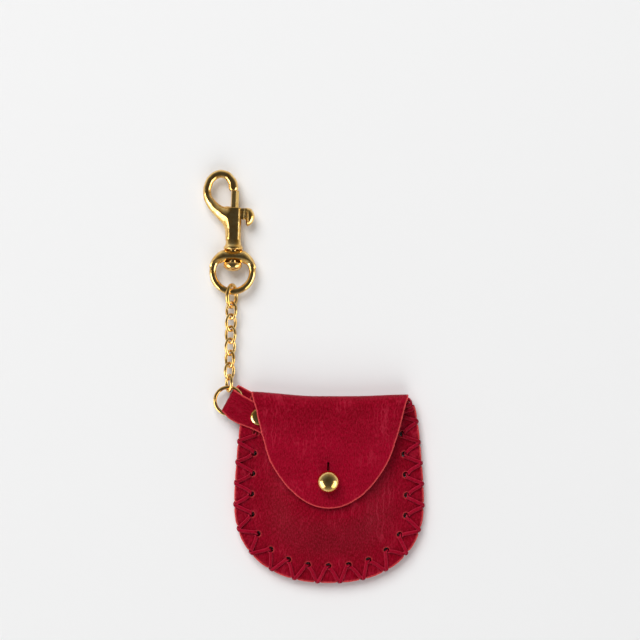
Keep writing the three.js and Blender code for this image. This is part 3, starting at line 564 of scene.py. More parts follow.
# %% Leather sheet helpers
EDGE_ROUND = 0.34
EDGE_SHARES = [1, 0.9985, 0.995, 0.99, 0.983, 0.972]
PULL, PULL_REACH = 0.25, 1.9
FAR = 9


def column_shares(count):
    """Shares across a sheet from -1 to 1, closer together at its edges."""
    half = EDGE_SHARES + list(np.linspace(0.955, 0, count // 2 + 1))
    return np.array([-s for s in half] + half[-2::-1])


def leather_sheet(name, middle, outward, thickness, edge):
    """middle and outward are (rows, columns, 3) arrays, and edge the distance from the cut edge."""
    rows, columns = edge.shape
    loss = EDGE_ROUND - np.sqrt(np.maximum(EDGE_ROUND**2 - np.maximum(EDGE_ROUND - edge, 0) ** 2, 0))
    half = (thickness / 2 - loss)[..., None]
    points = np.concatenate([(middle + outward * half).reshape(-1, 3), (middle - outward * half).reshape(-1, 3)])
    index = np.arange(rows * columns).reshape(rows, columns)
    faces = []
    for offset in (0, rows * columns):
        a, b = index[:-1, :-1] + offset, index[:-1, 1:] + offset
        c, d = index[1:, 1:] + offset, index[1:, :-1] + offset
        faces += np.stack([a, b, c, d], -1).reshape(-1, 4).tolist()
    rim = np.concatenate([index[0], index[1:, -1], index[-1, -2::-1], index[-2:0:-1, 0]])
    for a, b in zip(rim, np.roll(rim, -1)):
        faces.append([a, b, b + rows * columns, a + rows * columns])
    return mesh_object(name, points, faces)


def sheet_edge(flat):
    """The outline of a sheet's flat pattern, and how far each of its points is from it."""
    outline = np.concatenate([flat[:, -1], flat[::-1, 0], flat[:1, -1]])
    return outline, distance_to_line(flat.reshape(-1, 2), outline).reshape(flat.shape[:2])


def mark(mesh, edge, hole):
    """Store the two distances that the leather's finish reads, for each vertex."""
    for label, values in (("edge_mm", edge), ("hole_mm", hole)):
        mesh.attributes.new(label, "FLOAT", "POINT").data.foreach_set("value", values.astype(np.float32))


def mark_leather(piece, flat, edge, hole):
    """Store the flat UV map and the two distances on a finished leather mesh."""
    mesh = piece.data
    layer = mesh.uv_layers.new(name="flat")
    corner_point = np.empty(len(mesh.loops), int)
    mesh.loops.foreach_get("vertex_index", corner_point)
    layer.data.foreach_set("uv", (flat[corner_point] / 100).astype(np.float32).ravel())
    mark(mesh, edge, hole)


def vertices_of(piece):
    places = np.empty(len(piece.data.vertices) * 3)
    piece.data.vertices.foreach_get("co", places)
    return places.reshape(-1, 3)


def move_vertices(piece, points):
    piece.data.vertices.foreach_set("co", points.ravel())
    piece.data.update()


def waves(x, y, size, seed):
    """Slow undulations of about one unit, from seeded noise."""
    points = np.column_stack([np.ravel(x), np.ravel(y)]) / size
    return np.array([noise.noise((px, py, seed)) for px, py in points]).reshape(np.shape(x))


def hole_distance(x, y):
    points = np.column_stack([np.ravel(x), np.ravel(y)])
    away = np.linalg.norm(points[:, None, :] - holes[None], axis=2).min(1)
    return away.reshape(np.shape(x))


def dimple(x, y):
    """The dip round a hole, where the lace pulls the leather down."""
    return PULL * np.exp(-((hole_distance(x, y) / PULL_REACH) ** 2))


def flat_marks(piece, to_flat, outline):
    """Mark a punched sheet: its vertices in the flat pattern, and their distances."""
    flat = to_flat(vertices_of(piece))
    hole = np.maximum(hole_distance(flat[:, 0], flat[:, 1]) - HOLE_RADIUS, 0)
    mark_leather(piece, flat, distance_to_line(flat, outline), hole)


# %% [markdown]
# ## What the laces and the hand do to the leather
# The laces pinch the rim at each stitch and the leather swells out between them. The fold
# isn't straight either: it rises at the left, and the flap's edges are drawn in below it.
# Both are small pushes to the finished sheets, so the sheets themselves stay simple.

# %% Pinched rim and bowed fold
SWELL, PINCH, PINCH_DEPTH, PINCH_POWER = 1.45, 1.0, 3.4, 20
RIM_WAVE = 0.2
RIM_END_LOW, RIM_END_HIGH = 29.5, 33.5
LEFT_TUCK, RIGHT_TUCK, RIGHT_STRETCH = 1.5, 0.9, 0.6
LEFT_RISE, MIDDLE_DROP, RIGHT_RISE = 1.4, 1.75, 0.6
rim_tree = kdtree.KDTree(len(body_edge))
for i, (x, y) in enumerate(body_edge):
    rim_tree.insert((x, y, 0), i)
rim_tree.balance()
rim_phase = (hole_lengths - first_length) / HOLE_PITCH


def pulled_rim(piece, below):
    """Push the rim out between the laces, for the vertices under a height."""
    points = vertices_of(piece)
    for i in np.nonzero(points[:, 2] < below)[0]:
        _, at, away = rim_tree.find((points[i, 0], points[i, 1], 0))
        if away > PINCH_DEPTH + 1:
            continue
        outward_way = rim_outward[at]
        offset = points[i, :2] - body_edge[at]
        side_step = offset @ np.array([-outward_way[1], outward_way[0]])
        phase = rim_phase[at] + side_step / HOLE_PITCH
        swell = SWELL - PINCH * abs(math.sin(math.pi * phase)) ** PINCH_POWER
        inner = 1 - smooth(-(offset @ outward_way), 0, PINCH_DEPTH)
        ends = 1 - smooth(points[i, 1], RIM_END_LOW, RIM_END_HIGH)
        points[i, :2] += outward_way * float(swell * inner * ends)
        points[i, 2] += RIM_WAVE * math.cos(2 * math.pi * phase) * float(inner * ends)
    move_vertices(piece, points)


def bowed_fold(piece):
    """Bow the fold, and draw in the flap's sides below it."""
    points = vertices_of(piece)
    x, y = points[:, 0], points[:, 1]
    share = (FOLD_TOP - y) / (FOLD_TOP - FLAP_TIP)
    tuck = LEFT_TUCK * smooth(share, -0.02, 0.17) * (1 - smooth(share, 0.33, 0.64))
    points[:, 0] += tuck * np.clip(-x / FOLD_HALF, 0, 1) * (points[:, 2] > FOLD_CENTRE)
    drawn_in = RIGHT_TUCK * smooth(share, -0.02, 0.2) * (1 - smooth(share, 0.3, 0.65)) * (points[:, 2] > FOLD_CENTRE)
    stretch = RIGHT_STRETCH * smooth(y, FOLD_TOP - 4, FOLD_TOP - 0.5)
    points[:, 0] += (stretch - drawn_in) * np.clip(x / FOLD_HALF, 0, 1)
    bow = LEFT_RISE - MIDDLE_DROP * smooth(x, -31, -4) + RIGHT_RISE * smooth(x, 8, 29)
    points[:, 1] += bow * smooth(y, FOLD_TOP - 15, FOLD_TOP - 1)
    move_vertices(piece, points)


# %% [markdown]
# ## Front panel
# The front is a bag's wall, so it swells a little and isn't quite even. Its rim dips at
# each hole where the lace pulls, and small waves keep the crown from looking pressed.

# %% Front panel
NEAR_EDGE = np.array([0.04, 0.12, 0.25, 0.42, 0.7])
CROWN_WAVE, CROWN_WAVE_SIZE = 0.16, 11


def dense(levels, near):
    """Levels with a few more close to each end, where the edge is rounded."""
    return np.unique(np.concatenate([levels, levels[0] + near, levels[-1] - near]))


front_y = dense(body_levels(FRONT_TOP, 52, 58), NEAR_EDGE)
grid_u = column_shares(96)
ragged_edge = 1 + 0.003 * waves(front_y, front_y * 0 + 7, 1.7, 3.1)
front_half = (body_half(front_y) * ragged_edge)[:, None]
front_x = front_half * grid_u[None]
front_yy = np.repeat(front_y[:, None], len(grid_u), 1)
flat_xy = np.column_stack([front_x.ravel(), front_yy.ravel()])
front_edge = np.minimum(depth_inside(*flat_xy.T).reshape(front_x.shape), FRONT_TOP - front_yy)
front_edge = np.minimum(np.maximum(front_edge, 0), front_half * (1 - np.abs(grid_u[None])))
front_z = front_under(*flat_xy.T).reshape(front_x.shape) + THICKNESS / 2
swelling = CROWN_WAVE * waves(front_x, front_yy, CROWN_WAVE_SIZE, 5.5) * smooth(front_edge, 5, 14)
front_z = front_z + swelling - dimple(front_x, front_yy)
up = np.zeros((*front_x.shape, 3))
up[..., 2] = 1
front = leather_sheet("front_panel_hide", np.stack([front_x, front_yy, front_z], -1), up, THICKNESS, front_edge)
front = grown(punch, front.name, front, holes=hole_points, radius=HOLE_RADIUS, material=hide)
front_outline = np.array([p for p in body_edge if p[1] < FRONT_TOP])
front_outline = np.concatenate([front_outline, front_outline[:1]])
flat_marks(front, lambda points: points[:, :2], front_outline)
pulled_rim(front, below=math.inf)
finished(front, "pouch", ["front_panel"], hide, crease=50)

# %% [markdown]
# ## Back panel and flap
# These are one piece of leather, so one mesh makes them: up the back, round the fold and
# down over the mouth. It crosses the flap's hinge, and is given to no body.

# %% Rows of the folded sheet
STUD = (-0.3, 3.3)
FOLD_LENGTH = FOLD_RADIUS * math.pi
RAGGED, FLAP_WAVE, FLAP_WAVE_SIZE = 0.16, 0.22, 13


def frayed_half(y, seed):
    """The flap's half width, with the small wander of a hand-cut edge."""
    wander = noise.noise((y / 1.1, seed, 0)) + noise.noise((y / 3.1, seed, 4))
    return flap_half(y) + RAGGED * wander * smooth(flap_half(y), 1, 6)


def sheet_row(y, turn, shares):
    """A row of the folded sheet: points of its middle, their outward side and flat places."""
    if turn == 0:
        left = right = body_half(y) + (FOLD_HALF - body_half(y)) * smooth(y, FOLD_START - 3.5, FOLD_START)
    elif turn == math.pi:
        left, right = frayed_half(y, 5), frayed_half(y, 21)
    else:
        left = right = FOLD_HALF + (flap_half(FOLD_START) - FOLD_HALF) * turn / math.pi
    x = np.where(shares < 0, left, right) * shares
    yy = x * 0 + y
    side = np.array([0, math.sin(turn), -math.cos(turn)])
    if turn == 0:
        z = back_under(x, yy) + THICKNESS / 2 + dimple(x, yy)
        middle, flat = np.column_stack([x, yy, z]), y
    elif turn == math.pi:
        wave = FLAP_WAVE * waves(x, yy, FLAP_WAVE_SIZE, 9.2) * smooth(FOLD_START - y, 2, 12)
        calm = smooth(np.hypot(x - STUD[0], y - STUD[1]), 3, 9)
        z = flap_under(x, yy) + THICKNESS / 2 + wave * calm
        middle, flat = np.column_stack([x, yy, z]), FOLD_START + FOLD_LENGTH + (FOLD_START - y)
    else:
        low = FOLD_CENTRE - lift(x, x * 0 + FOLD_START) - THICKNESS / 2
        drop = low if turn < math.pi / 2 else x * 0 + FOLD_RADIUS
        middle = np.column_stack([x, x * 0 + FOLD_START + FOLD_RADIUS * math.sin(turn),
                                  FOLD_CENTRE - drop * math.cos(turn)])
        flat = FOLD_START + FOLD_RADIUS * turn
    return middle, np.repeat(side[None], len(x), 0), np.column_stack([x, x * 0 + flat])


# %% [markdown]
# ## Turned pieces and boxes
# A knob, a pin or a bore is a profile spun round an axis. A box makes slots.


# %% Turned pieces and boxes
def box(name, low, high):
    corners = [(x, y, z) for x in (low[0], high[0]) for y in (low[1], high[1]) for z in (low[2], high[2])]
    faces = [(0, 1, 3, 2), (4, 6, 7, 5), (0, 4, 5, 1), (2, 3, 7, 6), (0, 2, 6, 4), (1, 5, 7, 3)]
    return mesh_object(name, corners, faces)


def turned(name, profile, segments=64, axis="Z"):
    """A turned piece: (radius, height) pairs round an axis, closed where they meet it."""
    turns = np.linspace(0, 2 * math.pi, segments, endpoint=False)
    points = [(r * math.cos(t), r * math.sin(t), h) for r, h in profile for t in turns]
    faces = []
    for i in range(len(profile) - 1):
        for j in range(segments):
            k = (j + 1) % segments
            faces.append([i * segments + j, i * segments + k, (i + 1) * segments + k, (i + 1) * segments + j])
    for end in (0, len(profile) - 1):
        if profile[end][0] > 0:
            faces.append([end * segments + j for j in range(segments)])
    made = mesh_object(name, points, faces)
    if axis == "Y":
        made.data.transform(Matrix.Rotation(-math.pi / 2, 4, "X"))
    return made


def bore(name, radius, low, high, segments=40, axis="Y"):
    """A round tool that cuts from one height to another."""
    return turned(name, [(radius, low), (radius, high)], segments, axis)


# %% [markdown]
# ## Folding the hide
# The rows are laid one after another, punched, and slit for the stud. The flat pattern
# gives every vertex its place in the grain, also round the fold.

# %% Back panel and flap
STUD_NECK, SLIT_WIDTH, SLIT_TOP, KNIFE_LOW, KNIFE_HIGH = 1.95, 0.82, 10.2, 6, 14
SLIT_FOOT, SLIT_HEAD = 1.25, 0.9
back_y = dense(body_levels(FOLD_START, 46, 54), NEAR_EDGE)[:-6]
flap_y = FLAP_TIP + (FOLD_START - FLAP_TIP) * (1 - np.cos(np.linspace(math.pi / 2, 0, 70)))
flap_y = np.unique(np.concatenate([flap_y, FLAP_TIP + NEAR_EDGE]))[::-1]
fold_turn = np.linspace(0, math.pi, 26)
stations = [(y, 0) for y in back_y] + [(0, turn) for turn in fold_turn[:-1]] + [(y, math.pi) for y in flap_y]
stations[len(back_y)] = (FOLD_START, 0)
rows = [sheet_row(y, turn, grid_u) for y, turn in stations]
middle, outward, flat = (np.array([row[i] for row in rows]) for i in range(3))
sheet_outline, edge = sheet_edge(flat)
hide_sheet = leather_sheet("back_and_flap_hide", middle, outward, THICKNESS, edge)
hide_sheet = grown(punch, hide_sheet.name, hide_sheet, holes=back_points, radius=HOLE_RADIUS, material=hide)
neck_punch = moved(bore("neck_punch", STUD_NECK, KNIFE_LOW, KNIFE_HIGH, 32, "Z"), *STUD)
slit_knife = box("slit_knife", (-SLIT_WIDTH / 2, STUD[1], KNIFE_LOW), (SLIT_WIDTH / 2, SLIT_TOP, KNIFE_HIGH))
for vertex in slit_knife.data.vertices:
    vertex.co.x = STUD[0] + vertex.co.x * (SLIT_FOOT if vertex.co.y < STUD[1] + 1 else SLIT_HEAD)
cut(hide_sheet, neck_punch, slit_knife)


def unfolded(points):
    """Flat places of points on the folded sheet."""
    x, y, z = points.T
    turn = np.arctan2(np.maximum(y - FOLD_START, 0), FOLD_CENTRE - z)
    length = np.where(y > FOLD_START, FOLD_START + FOLD_RADIUS * turn, y)
    length = np.where((y <= FOLD_START) & (z > FOLD_CENTRE), 2 * FOLD_START + FOLD_LENGTH - y, length)
    return np.column_stack([x, length])


flat_marks(hide_sheet, unfolded, sheet_outline)
pulled_rim(hide_sheet, below=FOLD_CENTRE - 1.5)
bowed_fold(hide_sheet)
finished(hide_sheet, None, ["back_panel", "flap"], hide, crease=50)
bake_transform(hide_sheet)

# %% [markdown]
# ## Laces
# Two leather laces run round the pouch in opposite ways. Each goes up through a hole,
# over the edge and back to the next hole, and together they cross in a row of Vs. A path
# carries, at each point, the side of the lace that faces away from the pouch.

# %% Lace paths
LACE_ROOM = 0.4
LACE_LEAN, LACE_SPREAD, LACE_MIDDLE = 0.4, 0.7, 0.65
EDGE_REACH = HOLE_INSET + SEAT_GAP + LACE_ROOM
UNDER_LAYER, OVER_LAYER = 0.15, 0.95
INWARD = (-1, 0)


def lace_level(length, reach, over):
    place, outward_way = on_hole_line(length)
    here = (place + outward_way * min(reach, HOLE_INSET - LACE_ROOM))[:, None]
    if over:
        return front_under(*here)[0] + THICKNESS + SEAT_GAP + LACE_ROOM
    return back_under(*here)[0] - SEAT_GAP - LACE_ROOM


def lace_point(length, reach, z, side):
    """A point of the path and the side that faces out: (outwards, upwards)."""
    place, outward_way = on_hole_line(length)
    x, y = place + outward_way * reach
    facing = np.array([*(outward_way * side[0]), side[1]])
    return np.concatenate([[x, y, z], facing / np.linalg.norm(facing)])


def on_face(length, reach, over, inset=0.0, side=None):
    z = lace_level(length, reach, over) + (-inset if over else inset)
    return lace_point(length, reach, z, side or (0, 1 if over else -1))


def through_hole(length, reach, lean):
    past = lean + math.copysign(LACE_ROOM, lean)
    return [on_face(length - past, reach, False), on_face(length - lean, reach, False, LACE_ROOM, INWARD),
            on_face(length + lean, reach, True, LACE_ROOM, INWARD), on_face(length + past, reach, True)]


def over_edge(start, end, layer):
    middle_way, quarter = (start + end) / 2, (end - start) / 4
    top, bottom = lace_level(middle_way, HOLE_INSET, True), lace_level(middle_way, HOLE_INSET, False)
    rounding = (SEAT_GAP + LACE_ROOM) / 4
    brink = HOLE_INSET - rounding + layer / 4
    shoulder = EDGE_REACH - rounding + layer * 0.75
    return [on_face(start, brink, True), lace_point(middle_way - quarter, shoulder, top - rounding, (1, 1)),
            lace_point(middle_way, EDGE_REACH + layer, (top + bottom) / 2, (1, 0)),
            lace_point(middle_way + quarter, shoulder, bottom + rounding, (1, -1)), on_face(end, brink, False)]


def lace_path(way):
    """The whole way of one lace; way is 1 from the left corner, and -1 back from the right."""
    lean = way * LACE_LEAN
    layer = UNDER_LAYER if way > 0 else OVER_LAYER
    half = way * HOLE_PITCH / 2
    path = []
    for i, index in enumerate(range(HOLE_COUNT)[::way]):
        length = lengths[index]
        last = i == HOLE_COUNT - 1
        reach = LACE_MIDDLE + way * LACE_SPREAD / 2 if index else 0
        if last and way < 0:
            path.append(on_face(length + 1.3, HOLE_INSET * 0.4, False))
            break
        if i == 0:
            path.append(on_face(length - lean, reach - 2, False))
        path += through_hole(length, reach, lean)
        if last:
            break
        path.append(on_face(length + half / 2, HOLE_INSET / 2, True))
        path += over_edge(length + half * 0.8, length + half * 1.2, layer)
        path.append(on_face(length + half * 1.5, HOLE_INSET / 2, False))
    return path


def corner_wraps():
    """The two wraps that finish the forward lace beside the mouth."""
    path, reach = [], LACE_MIDDLE + LACE_SPREAD / 2
    for i in range(2):
        length = lengths[HOLE_COUNT - 1] + LACE_LEAN + i * WRAP_PITCH
        if i:
            path += [on_face(length, reach + LACE_ROOM, False), on_face(length, reach, False, LACE_ROOM, INWARD),
                     on_face(length, reach, True, LACE_ROOM, INWARD)]
        path.append(on_face(length, reach + 2 * LACE_ROOM, True))
        path += over_edge(length, length + WRAP_PITCH, 0)
    end = lengths[HOLE_COUNT - 1] + LACE_LEAN + 2 * WRAP_PITCH
    return path + [on_face(end, reach + 2 * LACE_ROOM, False), on_face(end, reach, False)]


def eased(path, steps=4):
    """The path with points between, on a smooth curve through it."""
    rows_in = np.array(path)
    before, after = np.roll(rows_in, 1, 0), np.roll(rows_in, -1, 0)
    before[0], after[-1] = rows_in[0], rows_in[-1]
    slope = (after - before) / 2
    out = []
    for i in range(len(rows_in) - 1):
        for k in range(steps):
            t = k / steps
            weights = (2 * t**3 - 3 * t**2 + 1, t**3 - 2 * t**2 + t, 3 * t**2 - 2 * t**3, t**3 - t**2)
            parts = (rows_in[i], slope[i] * 0.7, rows_in[i + 1], slope[i + 1] * 0.7)
            out.append(sum(w * p for w, p in zip(weights, parts)))
    return np.array(out + [rows_in[-1]])


# %% [markdown]
# ## The lace's section
# A tree sweeps a flat oval along the path, with its broad side to the stored direction, so
# the lace lies flat and turns over the edge by itself. It also stores the flat UV map: the
# length round the section, and the length along the lace.

# %% Lace tree
LACE_SIDES = 12
lace_tree, given = new_tree("lay_lace", ["Half width", "Half thickness"])
way_along = node(lace_tree, "GeometryNodeSplineParameter").outputs["Length"]


def measured(curve, label):
    """The curve, and each point's length along it as a captured output."""
    kept = node(lace_tree, "GeometryNodeCaptureAttribute", Geometry=curve)
    kept.capture_items.new("FLOAT", label)
    fill(kept, **{label: way_along})
    return kept, kept.outputs[label]


facing = node(lace_tree, "GeometryNodeInputNamedAttribute", Name="facing", data_type="FLOAT_VECTOR")
path_curve = node(lace_tree, "GeometryNodeMeshToCurve", Mesh=given["Geometry"])
free = node(lace_tree, "GeometryNodeSetCurveNormal", Curve=path_curve, Normal=facing, mode="FREE")
path_kept, length_along = measured(free, "Length")
oval = node(lace_tree, "GeometryNodeCurvePrimitiveCircle", Resolution=LACE_SIDES, Radius=1.0)
oval_size = node(lace_tree, "ShaderNodeCombineXYZ", X=given["Half thickness"], Y=given["Half width"], Z=1.0)
squeezed = node(lace_tree, "GeometryNodeTransform", Geometry=oval, Scale=oval_size)
oval_kept, length_around = measured(squeezed, "Around")
swept = node(lace_tree, "GeometryNodeCurveToMesh", Curve=path_kept, Profile_Curve=oval_kept, Fill_Caps=True)
lace_flat = node(lace_tree, "ShaderNodeCombineXYZ", X=length_around, Y=length_along)
per_hundred = node(lace_tree, "ShaderNodeVectorMath", lace_flat, Scale=0.01, operation="SCALE")
mapped = node(lace_tree, "GeometryNodeStoreNamedAttribute", Geometry=swept, Name="flat", Value=per_hundred,
              data_type="FLOAT2", domain="CORNER")
end_tree(lace_tree, mapped, given["Material"])

# %% [markdown]
# ## Laying the laces
# The lace's cut edges are its two thin sides, so the distance from them follows the sine
# of the place round the section. Their pale colour there is partly the cut edge and partly a painted highlight.

# %% Lay both laces
LACE_HALF_WIDTH, LACE_HALF_THICKNESS = 0.64, 0.34


def lace(name, path, cad_node):
    track = eased(path)
    guide = new_mesh(name, track[:, :3].tolist(), [(i, i + 1) for i in range(len(track) - 1)])
    guide.data.attributes.new("facing", "FLOAT_VECTOR", "POINT").data.foreach_set("vector", track[:, 3:].ravel())
    sizes = {"half width": LACE_HALF_WIDTH, "half thickness": LACE_HALF_THICKNESS}
    piece = grown(lace_tree, name, guide, material=thong, **sizes)
    around = np.arange(len(piece.data.vertices)) % LACE_SIDES * 2 * math.pi / LACE_SIDES
    mark(piece.data, LACE_HALF_WIDTH * (1 - np.abs(np.sin(around))), around * 0 + FAR)
    finished(piece, "pouch", [cad_node], thong)


lace("forward_lace", lace_path(1) + corner_wraps(), "lace_forward")
lace("return_lace", lace_path(-1), "lace_return")

# %% [markdown]
# ## Strap
# One tab of leather is folded round the ring and riveted through the pouch. It is a
# sheet again: its rows run along the tab, round the fold and back behind the pouch.

# %% Strap
STRAP_THICKNESS, STRAP_REACH, STRAP_TIP = 1.0, 13.2, 3.6
STRAP_TURN = math.radians(151.5)
STRAP_UPPER, STRAP_LOWER, STRAP_FLARE = 4.2, 5, 0.9
STRAP_FOLD_UPPER, STRAP_FOLD_LOWER = 4.5, 4.7
STRAP_REAR_UPPER, STRAP_REAR_LOWER, REAR_BELOW = 6.6, 2.6, 2.6
RIVET, RIVET_HOLE = (-25.8, 26.4), 1.2
STRAP_REAR = RIM_LIFT + CORNER_LIFT - SEAT_GAP - STRAP_THICKNESS / 2
STRAP_FRONT = RIM_LIFT + CORNER_LIFT + 2 * THICKNESS + 2 * SEAT_GAP + STRAP_THICKNESS / 2
STRAP_FOLD = (STRAP_FRONT - STRAP_REAR) / 2
strap_fold_at = STRAP_REACH - STRAP_THICKNESS / 2 - STRAP_FOLD
tab_ends = np.array([0, 0.05, 0.14, 0.28, 0.45, 0.7])
front_leg = np.concatenate([-STRAP_TIP + tab_ends, np.linspace(-2.7, strap_fold_at, 30)])
rear_leg = np.concatenate([np.linspace(strap_fold_at, -2.7, 30), (-STRAP_TIP + tab_ends)[::-1]])
strap_turns = np.linspace(0, math.pi, 30)[1:-1]
strap_side = np.concatenate([front_leg * 0, strap_turns, rear_leg * 0 + math.pi])
strap_reach = np.concatenate([front_leg, strap_turns * 0 + strap_fold_at, rear_leg]) + STRAP_FOLD * np.sin(strap_side)
strap_height = (STRAP_FRONT + STRAP_REAR) / 2 + STRAP_FOLD * np.cos(strap_side)
rear_share = smooth(REAR_BELOW - strap_height, 0, REAR_BELOW - STRAP_REAR - STRAP_THICKNESS / 2)
narrow = smooth(strap_reach, 8.5, STRAP_REACH)
upper_front = STRAP_UPPER + (STRAP_FOLD_UPPER - STRAP_UPPER) * narrow
lower_front = STRAP_LOWER + STRAP_FLARE * smooth(strap_reach, -2, 7)
lower_front = lower_front + (STRAP_FOLD_LOWER - lower_front) * narrow
strap_upper = upper_front + (STRAP_REAR_UPPER - upper_front) * rear_share
strap_lower = lower_front + (STRAP_REAR_LOWER - lower_front) * rear_share
strap_u = column_shares(22)
across = (strap_lower[:, None] * (1 + strap_u) - strap_upper[:, None] * (1 - strap_u)) / 2


def across_tab(values):
    return np.repeat(values[:, None], len(strap_u), 1)


strap_way = np.concatenate([[0], np.cumsum(np.hypot(np.diff(strap_reach), np.diff(strap_height)))])
strap_middle = np.stack([across_tab(strap_reach), across, across_tab(strap_height)], -1)
strap_outward = np.stack([across_tab(np.sin(strap_side)), across * 0, across_tab(np.cos(strap_side))], -1)
strap_flat = np.stack([across, across_tab(strap_way)], -1)
strap_edge = sheet_edge(strap_flat)[1]
strap = leather_sheet("strap_hide", strap_middle, strap_outward, STRAP_THICKNESS, strap_edge)
nearest = np.array([np.argmin(((strap_middle.reshape(-1, 3) - p) ** 2).sum(1)) for p in vertices_of(strap)])
mark_leather(strap, strap_flat.reshape(-1, 2)[nearest], strap_edge.ravel()[nearest], nearest * 0.0 + FAR)
strap.data.transform(Matrix.Translation((*RIVET, 0)) @ Matrix.Rotation(STRAP_TURN, 4, "Z"))
cut(strap, moved(bore("rivet_punch", RIVET_HOLE, -3, 12, 24, "Z"), *RIVET))
finished(strap, "pouch", ["strap_loop"], hide, crease=50)

# %% [markdown]
# ## Stud and rivet
# These are turned pieces. A profile is spun round its axis: a ball head on a neck and a
# flange for the stud, a low dome for the rivet's cap and a flat washer behind.


# %% Stud and rivet
def dome(radius, at, low, high, start, steps):
    """Profile points of a dome, from a share of a quarter turn at one height to its top."""
    turns = np.linspace(start, 1, steps) * math.pi / 2
    points = [(radius * math.cos(t), at + (low if t < 0 else high) * math.sin(t)) for t in turns]
    return points[:-1] + [(0, points[-1][1])]


HEAD_RADIUS, HEAD_HEIGHT, HEAD_LOW_SHARE, HEAD_HIGH_SHARE, HEAD_START = 4.05, 5.4, 0.42, 0.58, -0.57
STUD_FLANGE, FLANGE_THICK, STUD_BORE, STUD_BORE_DEPTH, STUD_SHANK = 3.9, 0.5, 1.25, 2.6, 1.7
CAP_RADIUS, CAP_DOME, CAP_RIM, POST_LOW, POST_RADIUS = 3, 0.95, 0.22, 0.82, 0.9
stud_seat = front_under(*np.array(STUD)[:, None])[0] + THICKNESS + SEAT_GAP
head_bottom = FLAP_UNDER + THICKNESS + 0.3
head_middle = head_bottom + HEAD_HEIGHT * HEAD_LOW_SHARE
head = dome(HEAD_RADIUS, head_middle, head_middle - head_bottom, HEAD_HEIGHT * HEAD_HIGH_SHARE, HEAD_START, 26)
bore_top = stud_seat + STUD_BORE_DEPTH
stud_profile = [(0, bore_top), (STUD_BORE, bore_top), (STUD_BORE, stud_seat), (STUD_FLANGE, stud_seat),
                (STUD_FLANGE, stud_seat + 0.35), (STUD_FLANGE - 0.15, stud_seat + FLANGE_THICK),
                (STUD_SHANK, stud_seat + FLANGE_THICK), (STUD_SHANK, head_bottom - 0.1), (1.9, head_bottom),
                (2.7, head_bottom)] + head
stud = moved(turned("ball_stud", stud_profile), *STUD)
finished(stud, "pouch", ["stud_head"], gold, crease=35)

rivet_seat = STRAP_FRONT + STRAP_THICKNESS / 2 + SEAT_GAP
cap_dome = dome(CAP_RADIUS, rivet_seat + CAP_RIM, 0, CAP_DOME, 0, 14)
post = [(0, POST_LOW), (POST_RADIUS, POST_LOW), (POST_RADIUS, rivet_seat), (2.95, rivet_seat)]
washer_profile = [(0, 0.02), (2.85, 0.02), (3, 0.15), (3, 0.48), (2.85, 0.6), (0, 0.6)]
cap, washer = turned("rivet_cap", post + cap_dome), turned("rivet_washer", washer_profile)
for piece, cad_node in ((cap, "strap_rivet_cap"), (washer, "strap_rivet_back")):
    finished(moved(piece, *RIVET), "pouch", [cad_node], gold, crease=35)

# %% [markdown]
# ## A link from a tree
# Every link is the same thing: a wire bent into an oval. One tree makes them all, with
# named inputs for the length, the width and the wire, and for the tilt and place of the
# link on the chain's line.

# %% Link tree
link_tree, given = new_tree("bend_link", ["Length", "Width", "Wire", "Tilt", "Place"])
wire_radius = maths(link_tree, "MULTIPLY", given["Wire"], 0.5)
inner_width, inner_length = (maths(link_tree, "SUBTRACT", given[size], given["Wire"]) for size in ("Width", "Length"))
round_wire = node(link_tree, "GeometryNodeCurvePrimitiveCircle", Resolution=48, Radius=0.5)
oval_shape = node(link_tree, "ShaderNodeCombineXYZ", X=inner_width, Y=inner_length, Z=1.0)
rounded = node(link_tree, "GeometryNodeTransform", Geometry=round_wire, Scale=oval_shape)
section = node(link_tree, "GeometryNodeCurvePrimitiveCircle", Resolution=18, Radius=wire_radius)
wire = node(link_tree, "GeometryNodeCurveToMesh", Curve=rounded, Profile_Curve=section)
shift, lean_over = (node(link_tree, "ShaderNodeCombineXYZ", Y=given[size]) for size in ("Place", "Tilt"))
in_place = node(link_tree, "GeometryNodeTransform", Geometry=wire, Translation=shift, Rotation=lean_over)
end_tree(link_tree, in_place, given["Material"])

# %% [markdown]
# ## Ring and chain
# The ring is a link as wide as it is long. The chain's links turn from one to the next, by
# angles read from the picture, and a larger one hangs in the eye.

# %% Ring and links
RING_ACROSS, RING_WIRE = 11.3, 1.38
LINK_LENGTH, LINK_WIDTH, LINK_WIRE = 7.05, 5.1, 1.13
LINK_TILTS = {2: -30, 3: 38, 4: -32, 5: 40, 6: -42, 7: 43, 8: -60}
LINK_PITCH, LAST_LINK_AT = 4.45, 6.475
CONNECTOR_LENGTH, CONNECTOR_WIDTH, CONNECTOR_WIRE, CONNECTOR_TILT, CONNECTOR_AT = 9.5, 7.5, 1.5, 60, 38.5


def link_piece(name, cad_node, body, length, width, wire_size, tilt, place):
    piece = grown(link_tree, name, length=float(length), width=float(width), wire=wire_size,
                  tilt=math.radians(tilt), place=float(place), material=gold)
    gilded(piece, body, cad_node)


link_piece("strap_ring", "jump_ring", "ring", RING_ACROSS, RING_ACROSS, RING_WIRE, 0, 0)
for number, tilt in LINK_TILTS.items():
    place = LAST_LINK_AT + (8 - number) * LINK_PITCH
    link_piece(f"cable_link_{number}", f"chain_link_{number}", f"link_{number}",
               LINK_LENGTH, LINK_WIDTH, LINK_WIRE, tilt, place)
link_piece("large_link", "connector_link", "connector",
           CONNECTOR_LENGTH, CONNECTOR_WIDTH, CONNECTOR_WIRE, CONNECTOR_TILT, CONNECTOR_AT)

# %% [markdown]
# ## Castings
# Castings have no sharp corners, and a polished one has no facets. So each is written as a
# distance field, whose parts melt into each other with a fillet. The mesh is the surface
# where the field is zero: one point for each grid cell that it crosses, evened out and
# drawn onto the surface. The bores are cut afterwards, so their edges stay crisp.


